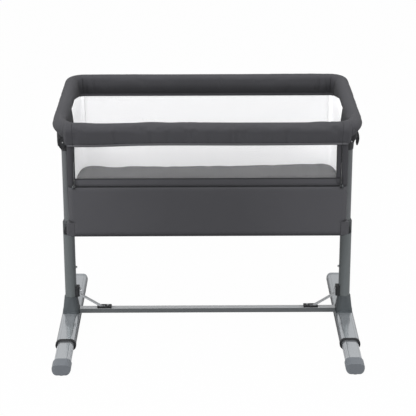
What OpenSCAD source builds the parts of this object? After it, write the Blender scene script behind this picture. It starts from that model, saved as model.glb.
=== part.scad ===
// Bedside cradle: a fabric bassinet with a padded rail, hung between two
// telescopic posts on sledge feet. Millimetres, +Z up, front side towards -Y.
// The origin is on the floor, under the middle of the footprint.

/* [Posts] */
// Distance from the middle of the cradle to each post
post_x = 433; // [415:1:450]
// Outer diameter of the fixed lower tube
lower_d = 36; // [34:0.5:40]
// Length of the fixed lower tube
lower_len = 253; // [200:1:290]
// Outer diameter of the sliding upper tube
upper_d = 28; // [25:0.5:29]
// Wall of the round tubes
tube_wall = 1.6; // [1:0.1:2]
// Height of the collar above the lower tube
collar_h = 45; // [40:1:60]
// Number of height settings
levels = 5; // [3:1:6]
// Step from one height setting to the next
level_step = 22.5; // [15:0.5:26]

/* [Feet] */
// Width of the flat-oval foot
foot_w = 61; // [57:1:66]
// Height of the flat-oval foot
foot_h = 33; // [31:0.5:38]
// Wall of the foot sleeve
foot_wall = 2; // [1.2:0.1:2.5]
// Gap from the floor to the underside of the foot
foot_lift = 3.5; // [2:0.5:8]
// Reach of the sleeve in front of the post
sleeve_front = 226; // [200:1:250]
// Reach of the sleeve behind the post
sleeve_rear = 288; // [260:1:320]
// Length of the moulded rear cap
rear_cap_l = 18; // [16:1:30]
// Reach of the pulled-out foot in front of the post
foot_reach = 404; // [385:1:430]
// Length of the moulded front cap
front_cap_l = 47; // [40:1:60]
// Travel of the pull-out foot
foot_travel = 110; // [60:1:118]
// Gap all round between the sleeve bore and the pull-out tube, across
ext_gap = 3; // [2:0.25:5]
// The same gap above and below the pull-out tube
ext_gap_h = 1.5; // [1:0.25:3]

/* [Post sockets and crossbar] */
// Height of the socket above the foot
socket_h = 50.5; // [40:0.5:70]
// Thickness of the socket floor under the post
socket_floor_t = 8.5; // [6:0.5:12]
// Outer diameter of the socket at its top
socket_d = 41; // [40:0.5:46]
// Width of the socket where it sits on the foot
socket_w = 52; // [46:1:56]
// Length of the socket along the foot
socket_l = 62; // [58:1:80]
// Depth of the crossbar, front to back
bar_w = 22; // [18:1:30]
// Height of the crossbar
bar_h = 15; // [12:1:18]
// Height of the crossbar's underside above the floor
bar_z = 31; // [28:0.5:34]
// Width of the brace strips
brace_w = 14; // [10:1:18]
// Thickness of the brace strips
brace_t = 3; // [2:0.5:4]
// Height at which a brace meets its post
brace_top = 92; // [90:1:120]
// Distance from the middle to the foot of a brace
brace_x = 333; // [300:1:350]

/* [Padded rail] */
// Height of the rail tube's axis above the floor
rail_z = 716; // [690:1:740]
// Diameter of the rail tube
rail_d = 22; // [18:0.5:25]
// Radius of the padded cover round the rail tube
pad_r = 20; // [18:0.5:22]
// Drop from the rail axis to the cover's lower seam
seam_drop = 44; // [40:1:55]
// Distance from a post to the rail, inwards
rail_in = 2; // [0:0.25:4]
// Distance of the front rail in front of the posts
rail_front = 262; // [245:1:275]
// Distance of the rear rail behind the posts
rail_rear = 280; // [265:1:290]
// Bend radius of the rail at the rear corners
rail_bend = 40; // [36:1:60]
// Length of the side rail in front of the posts
rail_end = 185; // [160:1:200]
// From the ends of the folding front side to the corner tubes' axes
gate_gap = 8.5; // [8:0.25:9.5]

/* [Fabric body] */
// Distance from the rail axis inwards to the wall of the body
hang = 23.5; // [22:0.5:25]
// Distance from the front rail axis outwards to the front face
front_hang = 6; // [3:0.5:9]
// Height of the window and its strip, from seam to fold line
window_h = 130; // [100:1:160]
// Height of the front panel below the fold line
panel_h = 152; // [130:1:190]
// Height of the dark strip under the front window
strip_h = 26; // [18:1:40]
// Thickness of the outer fabric walls
wall_t = 2; // [1.5:0.1:3]
// Thickness of the inner lining
lining_t = 1.2; // [0.8:0.1:2]
// Reach of the white lining in front of the posts, above the fold line
lining_front = 25; // [0:5:100]
// Thickness of the net windows
net_t = 1.4; // [1:0.1:2]
// Corner radius of the body at the front
front_r = 14; // [10:1:16]

/* [Base and mattress] */
// Diameter of the base frame tube
base_d = 16; // [14:0.5:18]
// Bend radius of the base frame tube
base_bend = 25; // [20:1:40]
// Diameter of the upright tubes at the front corners
corner_d = 14; // [12:0.5:15]
// Thickness of the mattress board
board_t = 4; // [3:0.5:6]
// Thickness of the mattress at its crown
mattress_t = 24; // [20:1:40]
// Corner radius of the mattress
mattress_r = 48; // [48:1:60]
// Gap from the mattress to the walls
mattress_gap = 2; // [1:0.5:6]
// Rounding of the mattress edge
mattress_edge = 34; // [20:1:40]

/* [Hubs] */
// Drop from the rail axis to the tilt pin
pin_drop = 61; // [58:0.5:70]
// Diameter of the tilt pin
pin_d = 8; // [6:0.5:10]
// Width of the saddle lug between the hub cheeks
lug_w = 14; // [10:0.5:18]
// Thickness of each hub cheek
cheek_t = 8; // [6:0.5:10]
// Height of the hub below the tilt pin
hub_h = 83; // [78:1:100]
// Width of the release lever
lever_w = 13; // [9:0.5:14]
// Length of the release lever below its pivot
lever_l = 49; // [40:1:52]

/* [Buttons and zips] */
// Height of the rivet on the inner side of each lower post
nub_z = 184; // [150:1:230]
// Angle of the height button round the post, outwards
button_turn = 13; // [0:1:25]
// Lean of the oval height button
button_lean = 15; // [0:1:25]
// Width of the height button
button_w = 14; // [12:0.5:15]
// Height of the height button
button_h = 27; // [22:0.5:28]
// Travel of the height button
button_travel = 3; // [2:0.25:3.2]
// Diameter of the lock nose
nose_d = 5; // [4:0.25:5.5]
// Length of a zip slider with its pull tab
zip_l = 22; // [16:1:26]

/* [Fits] */
// Radial clearance of the sliding tubes
slide_fit = 0.06; // [0.03:0.01:0.1]
// Radial clearance of a turning pin
pin_fit = 0.05; // [0.03:0.01:0.1]
// Sideways play that lets the two posts tilt the bassinet
tilt_play = 0.6; // [0.55:0.05:0.8]
// Gap between pieces that only rest on each other
seat = 0.3; // [0.2:0.05:0.4]

/* [Hidden] */
$fn = 64;

post_y = (foot_reach - sleeve_rear - rear_cap_l) / 2;

foot_mid = foot_lift + foot_h / 2;
foot_top = foot_lift + foot_h;
bore_w = foot_w - 2 * foot_wall;
bore_h = foot_h - 2 * foot_wall;
ext_w = bore_w - 2 * ext_gap;
ext_h = bore_h - 2 * ext_gap_h;
ext_wall = 1.5;
ext_rear = foot_travel + socket_l / 2 + 9;
bolt_y = socket_l / 2 - 6.5;
bolt_d = 6;
ring_t = 1.2;
ring_l = 10;
ring_lap = 4;

socket_floor = foot_top + socket_floor_t;
socket_top = foot_top + socket_h;
lower_top = socket_floor + lower_len;
lower_bore = lower_d - 2 * tube_wall;
collar_top = lower_top + collar_h;
bar_half = post_x - socket_w / 2 - 1;
bar_wall = 1.5;
bar_top = bar_z + bar_h;

rail_x = post_x - rail_in;
body_x = rail_x - hang;
body_rear = rail_rear - hang;
body_front = rail_front + front_hang;
body_bend = rail_bend - hang;
corner_x = rail_x - rail_bend;
corner_y = rail_rear - rail_bend;
seam_z = rail_z - seam_drop;
fold_z = seam_z - window_h;
body_bottom = fold_z - panel_h;
front_split = body_front - front_r - 4;

pin_z = rail_z - pin_drop;
hub_bottom = pin_z - hub_h;
hub_top = pin_z - 12;
tube_top = hub_top - 3;
plug_t = 8;
tube_bottom = socket_floor + seat + plug_t;
nose_z = lower_top + 17;
slot_w = nose_d + 1.6;
notch_d = nose_d + 4;
travel = (levels - 1) * level_step;
tilt_rise = 31;

base_z = body_bottom + 3 + base_d / 2;
base_x = body_x - wall_t - 1.5 - base_d / 2;
base_front = body_front - wall_t - 1.5 - base_d / 2;
base_rear = body_rear - wall_t - 1.5 - base_d / 2;
board_z = base_z + base_d / 2 + seat;
mattress_z = board_z + board_t + seat;
upright_x = body_x - 11;
gate_x = upright_x - gate_gap;
upright_y = body_front - 16;
knuckle_x = gate_x + 22;
elbow_r = rail_d / 2 + 2;
hinge_y = body_front + 1;
arm_t = 3;
arm_x = gate_x - 0.6 - arm_t;
cloth_t = 1.6;

LEFT = -1;
RIGHT = 1;

// Helpers

module centred() {
  translate([0, post_y, 0]) children();
}

module on_side(side) {
  translate([0, post_y, 0])
    if (side < 0) mirror([1, 0, 0]) children();
    else children();
}

// A profile drawn as (x, z), swept from y0 to y1
module along_y(y0, y1) {
  translate([0, y1, 0]) rotate([90, 0, 0]) linear_extrude(y1 - y0) children();
}

// A profile drawn as (y, z), swept from x0 to x1
module along_x(x0, x1) {
  translate([x0, 0, 0]) rotate([90, 0, 90]) linear_extrude(x1 - x0) children();
}

module flat_oval(w, h) {
  translate([-(w - h) / 2, 0]) circle(d = h);
  translate([(w - h) / 2, 0]) circle(d = h);
  square([w - h, h], center = true);
}

// Rounded rectangle from corner a to corner b
module rounded(a, b, r) {
  translate([a[0] + r, a[1]]) square([b[0] - a[0] - 2 * r, b[1] - a[1]]);
  translate([a[0], a[1] + r]) square([b[0] - a[0], b[1] - a[1] - 2 * r]);
  for (x = [a[0] + r, b[0] - r], y = [a[1] + r, b[1] - r])
    translate([x, y]) circle(r = r);
}

module tube(d, wall, z0, z1) {
  difference() {
    translate([0, 0, z0]) cylinder(d = d, h = z1 - z0);
    translate([0, 0, z0 - 1]) cylinder(d = d - 2 * wall, h = z1 - z0 + 2);
  }
}

// Padded section round the rail: a round top and a tail down to the seam
module pad_section(tail) {
  r = pad_r - 0.8;
  half = 1.6;
  circle(r = pad_r);
  polygon([
    [tail - half, -seam_drop],
    [tail + half, -seam_drop],
    r * tangent([tail + half, -seam_drop], r, 1),
    r * tangent([tail - half, -seam_drop], r, -1)
  ]);
}

function tangent(p, r, way) =
  let (a = atan2(p[1], p[0]) + way * acos(r / norm(p)))
  [cos(a), sin(a)];

// Outline of the fabric body seen from above, drawn in by inset
module body_plan(inset) {
  fr = front_r - inset;
  rr = body_bend - inset;
  fx = body_x - front_r;
  fy = body_front - front_r;
  translate([-body_x + inset, -fy])
    square([2 * (body_x - inset), fy + corner_y]);
  translate([-corner_x, 0])
    square([2 * corner_x, body_rear - inset]);
  translate([-fx, -body_front + inset])
    square([2 * fx, body_front - inset]);
  for (s = [-1, 1]) {
    translate([s * corner_x, corner_y]) circle(r = rr);
    translate([s * fx, -fy]) circle(r = fr);
  }
}

module body_ring(outer, inner) {
  difference() {
    body_plan(outer);
    body_plan(inner);
  }
}

// Stand

module foot_sleeve(side) {
  color("#b8bcc0") on_side(side) translate([post_x, 0, foot_mid]) difference() {
    along_y(-sleeve_front, sleeve_rear) flat_oval(foot_w, foot_h);
    along_y(-sleeve_front - 1, sleeve_rear + 1) flat_oval(bore_w, bore_h);
    for (y = [-bolt_y, bolt_y])
      translate([0, y, -foot_h]) cylinder(d = bolt_d + 0.4, h = 2 * foot_h);
  }
}

module foot_rear_cap(side) {
  end = sleeve_rear + rear_cap_l;
  r = rear_cap_l - 5;
  color("#a9adb2") on_side(side) translate([post_x, 0, 0]) {
    intersection() {
      translate([0, 0, foot_mid])
        along_y(sleeve_rear + 0.1, end) flat_oval(foot_w, foot_h);
      translate([0, 0, foot_lift]) linear_extrude(foot_h) union() {
        translate([-foot_w / 2, sleeve_rear - 1]) square([foot_w, rear_cap_l + 1 - r]);
        translate([-foot_w / 2 + r, sleeve_rear]) square([foot_w - 2 * r, rear_cap_l]);
        for (s = [-1, 1])
          translate([s * (foot_w / 2 - r), end - r]) circle(r = r);
      }
    }
    translate([0, 0, foot_mid]) difference() {
      along_y(sleeve_rear - 18, sleeve_rear + 1)
        flat_oval(bore_w - 0.4, bore_h - 0.4);
      along_y(sleeve_rear - 19, sleeve_rear - 1)
        flat_oval(bore_w - 6, bore_h - 6);
    }
    translate([0, sleeve_rear + 8, 0])
      linear_extrude(foot_lift + 2) flat_oval(foot_w - foot_h, 10);
  }
}

module foot_ring() {
  lip = 16;
  difference() {
    union() {
      along_y(-sleeve_front - ring_l + ring_lap, -sleeve_front + ring_lap)
        flat_oval(foot_w + 2 * ring_t, foot_h + 2 * ring_t);
      along_y(-sleeve_front - 1, -sleeve_front + lip)
        flat_oval(bore_w - 0.2, bore_h - 0.2);
    }
    difference() {
      along_y(-sleeve_front - 0.1, -sleeve_front + ring_lap + 1)
        flat_oval(foot_w + 0.2, foot_h + 0.2);
      along_y(-sleeve_front - 2, -sleeve_front + lip + 1)
        flat_oval(bore_w - 0.2, bore_h - 0.2);
    }
    along_y(-sleeve_front - ring_l, -sleeve_front + lip + 1)
      flat_oval(ext_w + 2 * seat, ext_h + 2 * seat);
  }
}

module foot_rings() {
  color("#333638") for (side = [LEFT, RIGHT])
    on_side(side) translate([post_x, 0, foot_mid]) foot_ring();
}

module post_socket(side) {
  base_top = foot_top + 9;
  color("#4a4f52") on_side(side) translate([post_x, 0, 0]) difference() {
    union() {
      hull() {
        translate([0, 0, socket_top - 3]) cylinder(d = socket_d, h = 3);
        translate([0, 0, base_top - 2]) linear_extrude(2)
          rounded([-socket_w / 2 + 1, -socket_l / 2 + 1],
                  [socket_w / 2 - 1, socket_l / 2 - 1], 14);
      }
      translate([0, 0, foot_mid + 10]) linear_extrude(base_top - foot_mid - 11)
        rounded([-socket_w / 2, -socket_l / 2], [socket_w / 2, socket_l / 2], 14);
      // tongue that plugs into the crossbar
      translate([-socket_w / 2 - 30, 0, bar_z + bar_h / 2])
        along_y(-bar_w / 2 + bar_wall + seat, bar_w / 2 - bar_wall - seat)
          translate([0, -bar_h / 2 + bar_wall + seat])
            square([40, bar_h - 2 * bar_wall - 2 * seat]);
    }
    translate([0, 0, foot_mid])
      along_y(-socket_l, socket_l) flat_oval(foot_w + 0.2, foot_h + 0.2);
    translate([0, 0, socket_floor]) cylinder(d = lower_d + 0.1, h = socket_h);
    for (y = [-bolt_y, bolt_y])
      translate([0, y, foot_mid]) cylinder(d = bolt_d + 0.2, h = base_top - foot_mid + 3);
  }
}

module lower_post(side) {
  color("#6b7070") on_side(side) translate([post_x, 0, 0])
    tube(lower_d, tube_wall, socket_floor, lower_top);
}

// Frame of the height button: its axis points out of the collar along -Y
module at_button(side) {
  on_side(side) translate([post_x, 0, nose_z]) rotate([0, 0, button_turn]) children();
}

module button_oval(grow) {
  rotate(button_lean) flat_oval_up(button_w + 2 * grow, button_h + 2 * grow);
}

module flat_oval_up(w, h) {
  translate([0, -(h - w) / 2]) circle(d = w);
  translate([0, (h - w) / 2]) circle(d = w);
  square([w, h - w], center = true);
}

module post_collar(side) {
  chamfer = 6;
  spigot = 34;
  color("#3a3d40") difference() {
    union() {
      on_side(side) translate([post_x, 0, 0]) {
        translate([0, 0, lower_top]) cylinder(d = lower_d, h = collar_h - chamfer);
        translate([0, 0, collar_top - chamfer])
          cylinder(d1 = lower_d, d2 = upper_d + 2 * tilt_play + 2.4, h = chamfer);
        translate([0, 0, lower_top - spigot])
          cylinder(d = lower_bore - 0.1, h = spigot + 1);
      }
      at_button(side)
        along_y(-lower_d / 2 - 3, -lower_d / 2 + 3.4) button_oval(1.9);
    }
    on_side(side) translate([post_x, 0, lower_top - spigot - 1])
      linear_extrude(collar_h + spigot + 2)
        flat_oval(upper_d + 2 * slide_fit + 2 * tilt_play, upper_d + 2 * slide_fit);
    at_button(side) {
      along_y(-lower_d / 2 - 4, -lower_d / 2 - 0.4 + button_travel + seat)
        button_oval(seat);
      rotate([90, 0, 0]) cylinder(d = nose_d + 2 * seat, h = lower_d / 2);
    }
  }
}

module height_button(side) {
  out = lower_d / 2 + 4.2;
  color("#17191a") at_button(side) {
    intersection() {
      along_y(-out, -out + 3.8) button_oval(0);
      translate([0, 42 - out, 0]) sphere(r = 42, $fn = 96);
    }
    translate([0, -upper_d / 2 + 0.8, 0])
      rotate([90, 0, 0]) cylinder(d = nose_d, h = out - upper_d / 2 - 1.5);
  }
}

module crossbar() {
  color("#8f9498") centred() along_x(-bar_half, bar_half)
    translate([0, bar_z + bar_h / 2]) difference() {
      square([bar_w, bar_h], center = true);
      square([bar_w - 2 * bar_wall, bar_h - 2 * bar_wall], center = true);
    }
}

// Side view of a brace: flat foot, slanted strip and upright leg
module brace(side) {
  leg = post_x - lower_d / 2 - 10;
  foot = bar_top + 0.1;
  in = brace_x - 26;
  color("#6e7276") on_side(side) difference() {
    along_y(-brace_w / 2, brace_w / 2) polygon([
      [in, foot], [brace_x + 1, foot], [leg, brace_top - 2],
      [leg, brace_top + 20], [leg - brace_t, brace_top + 20],
      [leg - brace_t, brace_top], [brace_x, foot + brace_t], [in, foot + brace_t]
    ]);
    translate([leg - 10, 0, brace_top + 11]) rotate([0, 90, 0]) cylinder(d = 4.4, h = 20);
    translate([in + 10, 0, foot - 1]) cylinder(d = 4.4, h = 10);
  }
}

// Clip between the post and the brace leg, and clamp over the brace foot
module brace_clip() {
  leg = post_x - lower_d / 2 - 10;
  foot = bar_top + 0.1 + brace_t + 0.1;
  in = brace_x - 26;
  difference() {
    translate([0, 0, socket_top + seat])
      linear_extrude(brace_top + 27 - socket_top) difference() {
        rounded([leg + 0.1, -12], [leg + 18, 12], 4);
        translate([post_x, 0]) circle(d = lower_d + 0.2);
      }
    translate([leg - 1, 0, brace_top + 11]) rotate([0, 90, 0]) cylinder(d = 4.4, h = 20);
  }
  difference() {
    translate([0, 0, foot - brace_t]) linear_extrude(brace_t + 3.4)
      rounded([in - 2, -bar_w / 2 + 1], [in + 44, bar_w / 2 - 1], 3);
    translate([in - 4, -brace_w / 2 - 0.2, foot - brace_t - 1])
      cube([50, brace_w + 0.4, brace_t + 1.05]);
    translate([brace_x - 8, -brace_w / 2 - 0.2, foot - 1])
      cube([30, brace_w + 0.4, 10]);
    translate([in + 10, 0, foot - 1]) cylinder(d = 4.4, h = 10);
  }
}

module brace_clips() {
  color("#1c1e1f") for (side = [LEFT, RIGHT]) on_side(side) brace_clip();
}

// Bolts under the feet, rivets on the posts and screws on the crossbar
module stand_fasteners() {
  leg = post_x - lower_d / 2 - 10;
  clamp = bar_top + 3.6 + brace_t;
  color("#9a9da0") for (side = [LEFT, RIGHT]) on_side(side) {
    for (y = [-bolt_y, bolt_y]) translate([post_x, y, 0]) {
      translate([0, 0, foot_lift - 1.7]) cylinder(d = 10, h = 1.6);
      translate([0, 0, foot_lift - 0.2]) cylinder(d = bolt_d, h = foot_h + 9);
    }
    translate([post_x - lower_d / 2 - 4.5, 0, nub_z]) rotate([0, 90, 0])
      cylinder(d1 = 6, d2 = 8, h = 4.4);
    translate([leg - brace_t - 1.8, 0, brace_top + 11]) rotate([0, 90, 0]) {
      cylinder(d = 9, h = 1.7);
      cylinder(d = 4, h = brace_t + 11);
    }
    translate([brace_x - 16, 0, clamp + 0.1]) {
      cylinder(d = 8, h = 2.4);
      translate([0, 0, -brace_t - 3.4]) cylinder(d = 4, h = brace_t + 4);
    }
  }
}

// Pull-out feet

module foot_tube(side) {
  front = foot_reach - 12;
  color("#b4b8bc") on_side(side) translate([post_x, 0, foot_mid]) difference() {
    union() {
      along_y(-front + seat, -ext_rear) flat_oval(ext_w, ext_h);
      along_y(-ext_rear - 10, -ext_rear) flat_oval(bore_w - 0.4, bore_h - 0.4);
    }
    along_y(-front, -ext_rear + 1) flat_oval(ext_w - 2 * ext_wall, ext_h - 2 * ext_wall);
  }
}

module foot_front_cap(side) {
  w = foot_w - 4;
  back = -foot_reach + front_cap_l;
  r = 13;
  color("#6c7075") on_side(side) translate([post_x, 0, 0]) {
    difference() {
      intersection() {
        translate([0, 0, foot_mid])
          along_y(-foot_reach, back) flat_oval(w, foot_h);
        translate([0, 0, foot_lift]) linear_extrude(foot_h) union() {
          translate([-w / 2, -foot_reach + r]) square([w, front_cap_l - r + 1]);
          translate([-w / 2 + r, -foot_reach]) square([w - 2 * r, front_cap_l]);
          for (s = [-1, 1])
            translate([s * (w / 2 - r), -foot_reach + r]) circle(r = r);
        }
      }
      translate([0, 0, foot_mid]) along_y(-foot_reach + 12, back + 1)
        flat_oval(ext_w + 0.2, ext_h + 0.2);
    }
    // rubber pad under the cap
    translate([0, -foot_reach + 22, 0]) linear_extrude(foot_lift + 1)
      flat_oval_up(18, 34);
  }
}

// Telescopic posts and hubs

module upper_post(side) {
  low = nose_z - travel - tilt_rise;
  color("#6f7375") difference() {
    on_side(side) translate([post_x, 0, 0])
      tube(upper_d, tube_wall, tube_bottom, tube_top);
    at_button(side) translate([0, 0, -nose_z]) {
      along_y(-upper_d, -2) translate([0, (low + nose_z) / 2])
        flat_oval_up(slot_w, nose_z - low + slot_w);
      for (i = [0 : levels - 1]) translate([0, -2, nose_z - i * level_step])
        rotate([90, 0, 0]) cylinder(d = notch_d, h = upper_d);
    }
  }
}

module post_plug(side) {
  color("#202224") on_side(side) translate([post_x, 0, 0]) {
    translate([0, 0, socket_floor + seat])
      cylinder(d = lower_bore - 2 * tilt_play - 0.1, h = plug_t - 0.1);
    tube(upper_d - 2 * tube_wall - 0.1, 2.5, socket_floor + plug_t, tube_bottom + 22);
  }
}

// Side outline of the hub, drawn from the post axis and its lower rim
module hub_outline() {
  r = upper_d / 2;
  polygon([
    [-r - 1, 0], [r + 1, 0], [r + 2, 30], [r + 11, 42], [r + 11, hub_h - 23],
    [r + 6, hub_h - 12], [-r - 3, hub_h - 12], [-r - 4, hub_h - 20], [-r - 3, 24]
  ]);
}

module hub(side) {
  r = upper_d / 2;
  deep = lug_w / 2 + 0.3 + cheek_t;
  pivot_x = r + 7.5;
  color("#2b2d2f") on_side(side) translate([post_x, 0, 0]) difference() {
    union() {
      intersection() {
        translate([0, 0, hub_bottom]) along_y(-deep - 5, deep + 5) hub_outline();
        translate([0, 0, hub_bottom]) union() {
          cylinder(r1 = r + 1.2, r2 = r + 5, h = 26);
          translate([0, 0, 26]) linear_extrude(hub_h - 38)
            rounded([-r - 4, -deep - 4], [r + 11, deep + 4], 9);
        }
      }
      for (s = [-1, 1]) translate([0, s * (lug_w / 2 + 0.3 + cheek_t / 2), pin_z])
        along_y(-cheek_t / 2, cheek_t / 2) {
          circle(r = 12);
          translate([-12, -14]) square([24, 14]);
        }
    }
    translate([0, 0, hub_bottom - 1])
      cylinder(d = upper_d + 0.1, h = tube_top - hub_bottom + 1.3);
    translate([0, 0, pin_z]) rotate([90, 0, 0])
      cylinder(d = pin_d + 2 * pin_fit, h = 60, center = true);
    // slot and pin hole for the release lever
    translate([r + 3, -lever_w / 2 - 0.4, hub_bottom - 1])
      cube([20, lever_w + 0.8, hub_h]);
    translate([pivot_x, 0, pin_z - 23]) rotate([90, 0, 0])
      cylinder(d = 4 + 2 * pin_fit, h = lever_w + 8, center = true);
  }
}

module hub_lever(side) {
  r = upper_d / 2;
  top = pin_z - 23;
  x0 = post_x + r + 7.5;
  color("#1b1d1e") on_side(side) {
    along_y(-lever_w / 2, lever_w / 2) union() {
      translate([x0, top]) circle(r = 3.8);
      polygon([
        [x0 - 1.5, top + 3.5], [x0 + 3, top + 5], [x0 + 9.5, top - 10],
        [x0 + 11.5, top - 25], [x0 + 9.5, top - 40], [x0 + 5.5, top - lever_l],
        [x0 + 1.5, top - lever_l], [x0 + 4.5, top - 38], [x0 + 5, top - 26],
        [x0 + 2, top - 14], [x0 - 3, top - 2]
      ]);
    }
    translate([x0, 0, top]) rotate([90, 0, 0])
      cylinder(d = 4, h = lever_w + 7, center = true);
  }
}

// Rail

// Profile carried round the back of the bassinet, from one side rail end to the other
module round_the_back(front) {
  for (s = [-1, 1]) scale([s, 1, 1]) {
    translate([rail_x, 0, rail_z]) along_y(-front, corner_y) children();
    translate([corner_x, corner_y, rail_z]) rotate_extrude(angle = 90)
      translate([rail_bend, 0]) children();
  }
  translate([0, rail_rear, rail_z]) along_x(-corner_x, corner_x) children();
}

module rail_tube() {
  color("#8d9194") centred() round_the_back(rail_end) difference() {
    circle(d = rail_d);
    circle(d = rail_d - 2 * tube_wall);
  }
}

module elbow_core(grow) {
  hull() {
    translate([rail_x, -rail_end - elbow_r - 0.3, rail_z])
      sphere(r = elbow_r + grow, $fn = 24);
    translate([knuckle_x, -rail_front, rail_z]) sphere(r = elbow_r + grow, $fn = 24);
    translate([gate_x + 0.7 - grow, -rail_front, rail_z]) rotate([0, 90, 0])
      cylinder(r = elbow_r + grow, h = 2, $fn = 24);
  }
}

module elbow_tongue(grow) {
  back = -rail_front + rail_d / 2 + 0.3;
  translate([gate_x - 16, back - grow, rail_z - 9 - grow])
    cube([26, 7 + 2 * grow, 18 + 2 * grow]);
}

module front_elbow(side) {
  boss = corner_d / 2 + 1.2;
  color("#2a2c2e") on_side(side) difference() {
    union() {
      elbow_core(0);
      elbow_tongue(0);
      translate([rail_x, 0, rail_z]) along_y(-rail_end - 6, -rail_end + 20)
        circle(d = rail_d - 2 * tube_wall - 0.3);
      translate([upright_x, -upright_y, rail_z - 36]) cylinder(r = boss, h = 34);
    }
    translate([upright_x, -upright_y, rail_z - 40]) cylinder(d = corner_d + 0.2, h = 22);
  }
}

module rail_saddle(side) {
  half = 14;
  long = 44;
  top = rail_z - rail_d / 2 - 12;
  color("#232527") on_side(side) {
    difference() {
      translate([rail_x - half, -long / 2, top])
        cube([2 * half, long, rail_z - top]);
      translate([rail_x, 0, rail_z]) along_y(-long, long) circle(d = rail_d + 0.2);
    }
    along_y(-lug_w / 2, lug_w / 2) {
      translate([post_x, pin_z]) circle(r = 11);
      polygon([
        [post_x - 11, pin_z], [post_x + 11, pin_z],
        [rail_x + half - 2, top + 2], [rail_x - half + 4, top + 2]
      ]);
    }
    translate([post_x, 0, pin_z]) rotate([90, 0, 0])
      cylinder(d = pin_d, h = lug_w + 2 * cheek_t + 3, center = true);
  }
}

module rail_cover() {
  half = 14 + seat;
  long = 44 + 2 * seat;
  color("#5a5b5e") centred() difference() {
    round_the_back(rail_end - 5) difference() {
      pad_section(-hang);
      circle(d = rail_d + 2 * seat);
    }
    for (s = [-1, 1]) scale([s, 1, 1])
      translate([rail_x - half, -long / 2, seam_z - 10])
        cube([2 * half, long, seam_drop + 10]);
  }
}

module elbow_cover(side) {
  boss = corner_d / 2 + 1.2 + seat;
  color("#626367") on_side(side) difference() {
    hull() {
      translate([rail_x, 0, rail_z]) along_y(-rail_end + 4, -rail_end + 4.7)
        pad_section(-hang, $fn = 40);
      translate([knuckle_x, -rail_front, rail_z]) sphere(r = pad_r, $fn = 32);
      translate([body_x, -body_front, seam_z + 3]) sphere(r = 3, $fn = 16);
      translate([0, -rail_front, rail_z]) along_x(gate_x + 0.3, gate_x + 1)
        pad_section(-front_hang, $fn = 40);
    }
    elbow_core(seat);
    elbow_tongue(seat);
    translate([0, -rail_front - 50, seam_z - 20]) cube([gate_x + 0.3, 100, 100]);
    translate([rail_x, 0, rail_z]) along_y(-rail_end - 6.5, -rail_end + 6)
      circle(d = rail_d + 2 * seat);
    translate([upright_x, -upright_y, seam_z - 5])
      cylinder(r = boss, h = seam_drop + 5);
  }
}

// Base, board and mattress

// Profile carried round the closed loop of the base frame
module base_loop() {
  cx = base_x - base_bend;
  cf = base_front - base_bend;
  cr = base_rear - base_bend;
  translate([0, 0, base_z]) {
    for (s = [-1, 1]) scale([s, 1, 1]) {
      translate([base_x, 0, 0]) along_y(-cf, cr) children();
      translate([cx, cr, 0]) rotate_extrude(angle = 90)
        translate([base_bend, 0]) children();
      translate([cx, -cf, 0]) rotate(-90) rotate_extrude(angle = 90)
        translate([base_bend, 0]) children();
    }
    translate([0, -base_front, 0]) along_x(-cx, cx) children();
    translate([0, base_rear, 0]) along_x(-cx, cx) children();
  }
}

module base_frame() {
  color("#8d9194") centred() base_loop() difference() {
    circle(d = base_d);
    circle(d = base_d - 2 * tube_wall);
  }
}

module base_corner(side) {
  x0 = upright_x - corner_d / 2 + 1.5;
  x1 = body_x + 7.5;
  y0 = -body_front;
  y1 = -body_front + 32;
  mr = mattress_r + 1;
  color("#55575a") on_side(side) difference() {
    translate([0, 0, body_bottom + 0.5]) intersection() {
      linear_extrude(40.5) rounded([x0 - 20, y0], [x1, y1], 10);
      along_y(y0 - 1, y1 + 1) rounded([x0 - 20, 0], [x1, 40.5], 9);
    }
    translate([x0 - 30, y0 - 1, 0]) cube([30, 40, 600]);
    base_loop() circle(d = base_d + 0.3);
    translate([upright_x, -upright_y, base_z + base_d / 2 + 2])
      cylinder(d = corner_d + 0.2, h = 40);
    translate([body_x - wall_t - lining_t - mattress_gap - mattress_r,
               -body_front + wall_t + mattress_gap + mattress_r, base_z])
      cylinder(r = mr, h = 60);
  }
}

module corner_tube(side) {
  r = 5.5;
  color("#34373a") on_side(side) {
    translate([upright_x, -upright_y, 0])
      tube(corner_d, tube_wall, base_z + base_d / 2 + 2.3, rail_z - 18.3);
    // bracket that carries the hinge pin of the folding side
    difference() {
      along_x(gate_x + 1.6, gate_x + 5.6) {
        translate([-hinge_y, fold_z]) circle(r = r);
        translate([-hinge_y, fold_z - r]) square([hinge_y - upright_y - 5, 2 * r]);
      }
      translate([gate_x, -hinge_y, fold_z]) rotate([0, 90, 0])
        cylinder(d = 5 + 2 * pin_fit, h = 10);
    }
  }
}

module mattress_board() {
  cut = body_x - upright_x + corner_d / 2 + 3;
  color("#b9a88c") centred() translate([0, 0, board_z])
    linear_extrude(board_t) difference() {
      body_plan(wall_t + lining_t + 1);
      for (s = [-1, 1])
        translate([s * body_x, -body_front]) square([2 * cut, 76], center = true);
    }
}

// One level of the mattress: a rounded outline drawn in by inset, at height z
function mattress_level(inset, z, steps = 6) =
  let (
    hx = body_x - wall_t - lining_t - mattress_gap,
    y0 = -body_front + wall_t + mattress_gap,
    y1 = body_rear - wall_t - lining_t - mattress_gap,
    r = max(mattress_r - inset, 6),
    cx = hx - inset - r,
    cy = [y1 - inset - r, y0 + inset + r]
  )
  [for (q = [0 : 3], i = [0 : steps])
    let (
      a = 90 * q + 90 * i / steps,
      sx = q == 0 || q == 3 ? 1 : -1,
      c = q < 2 ? cy[0] : cy[1]
    )
    [sx * cx + r * cos(a), c + r * sin(a), z]];

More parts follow.
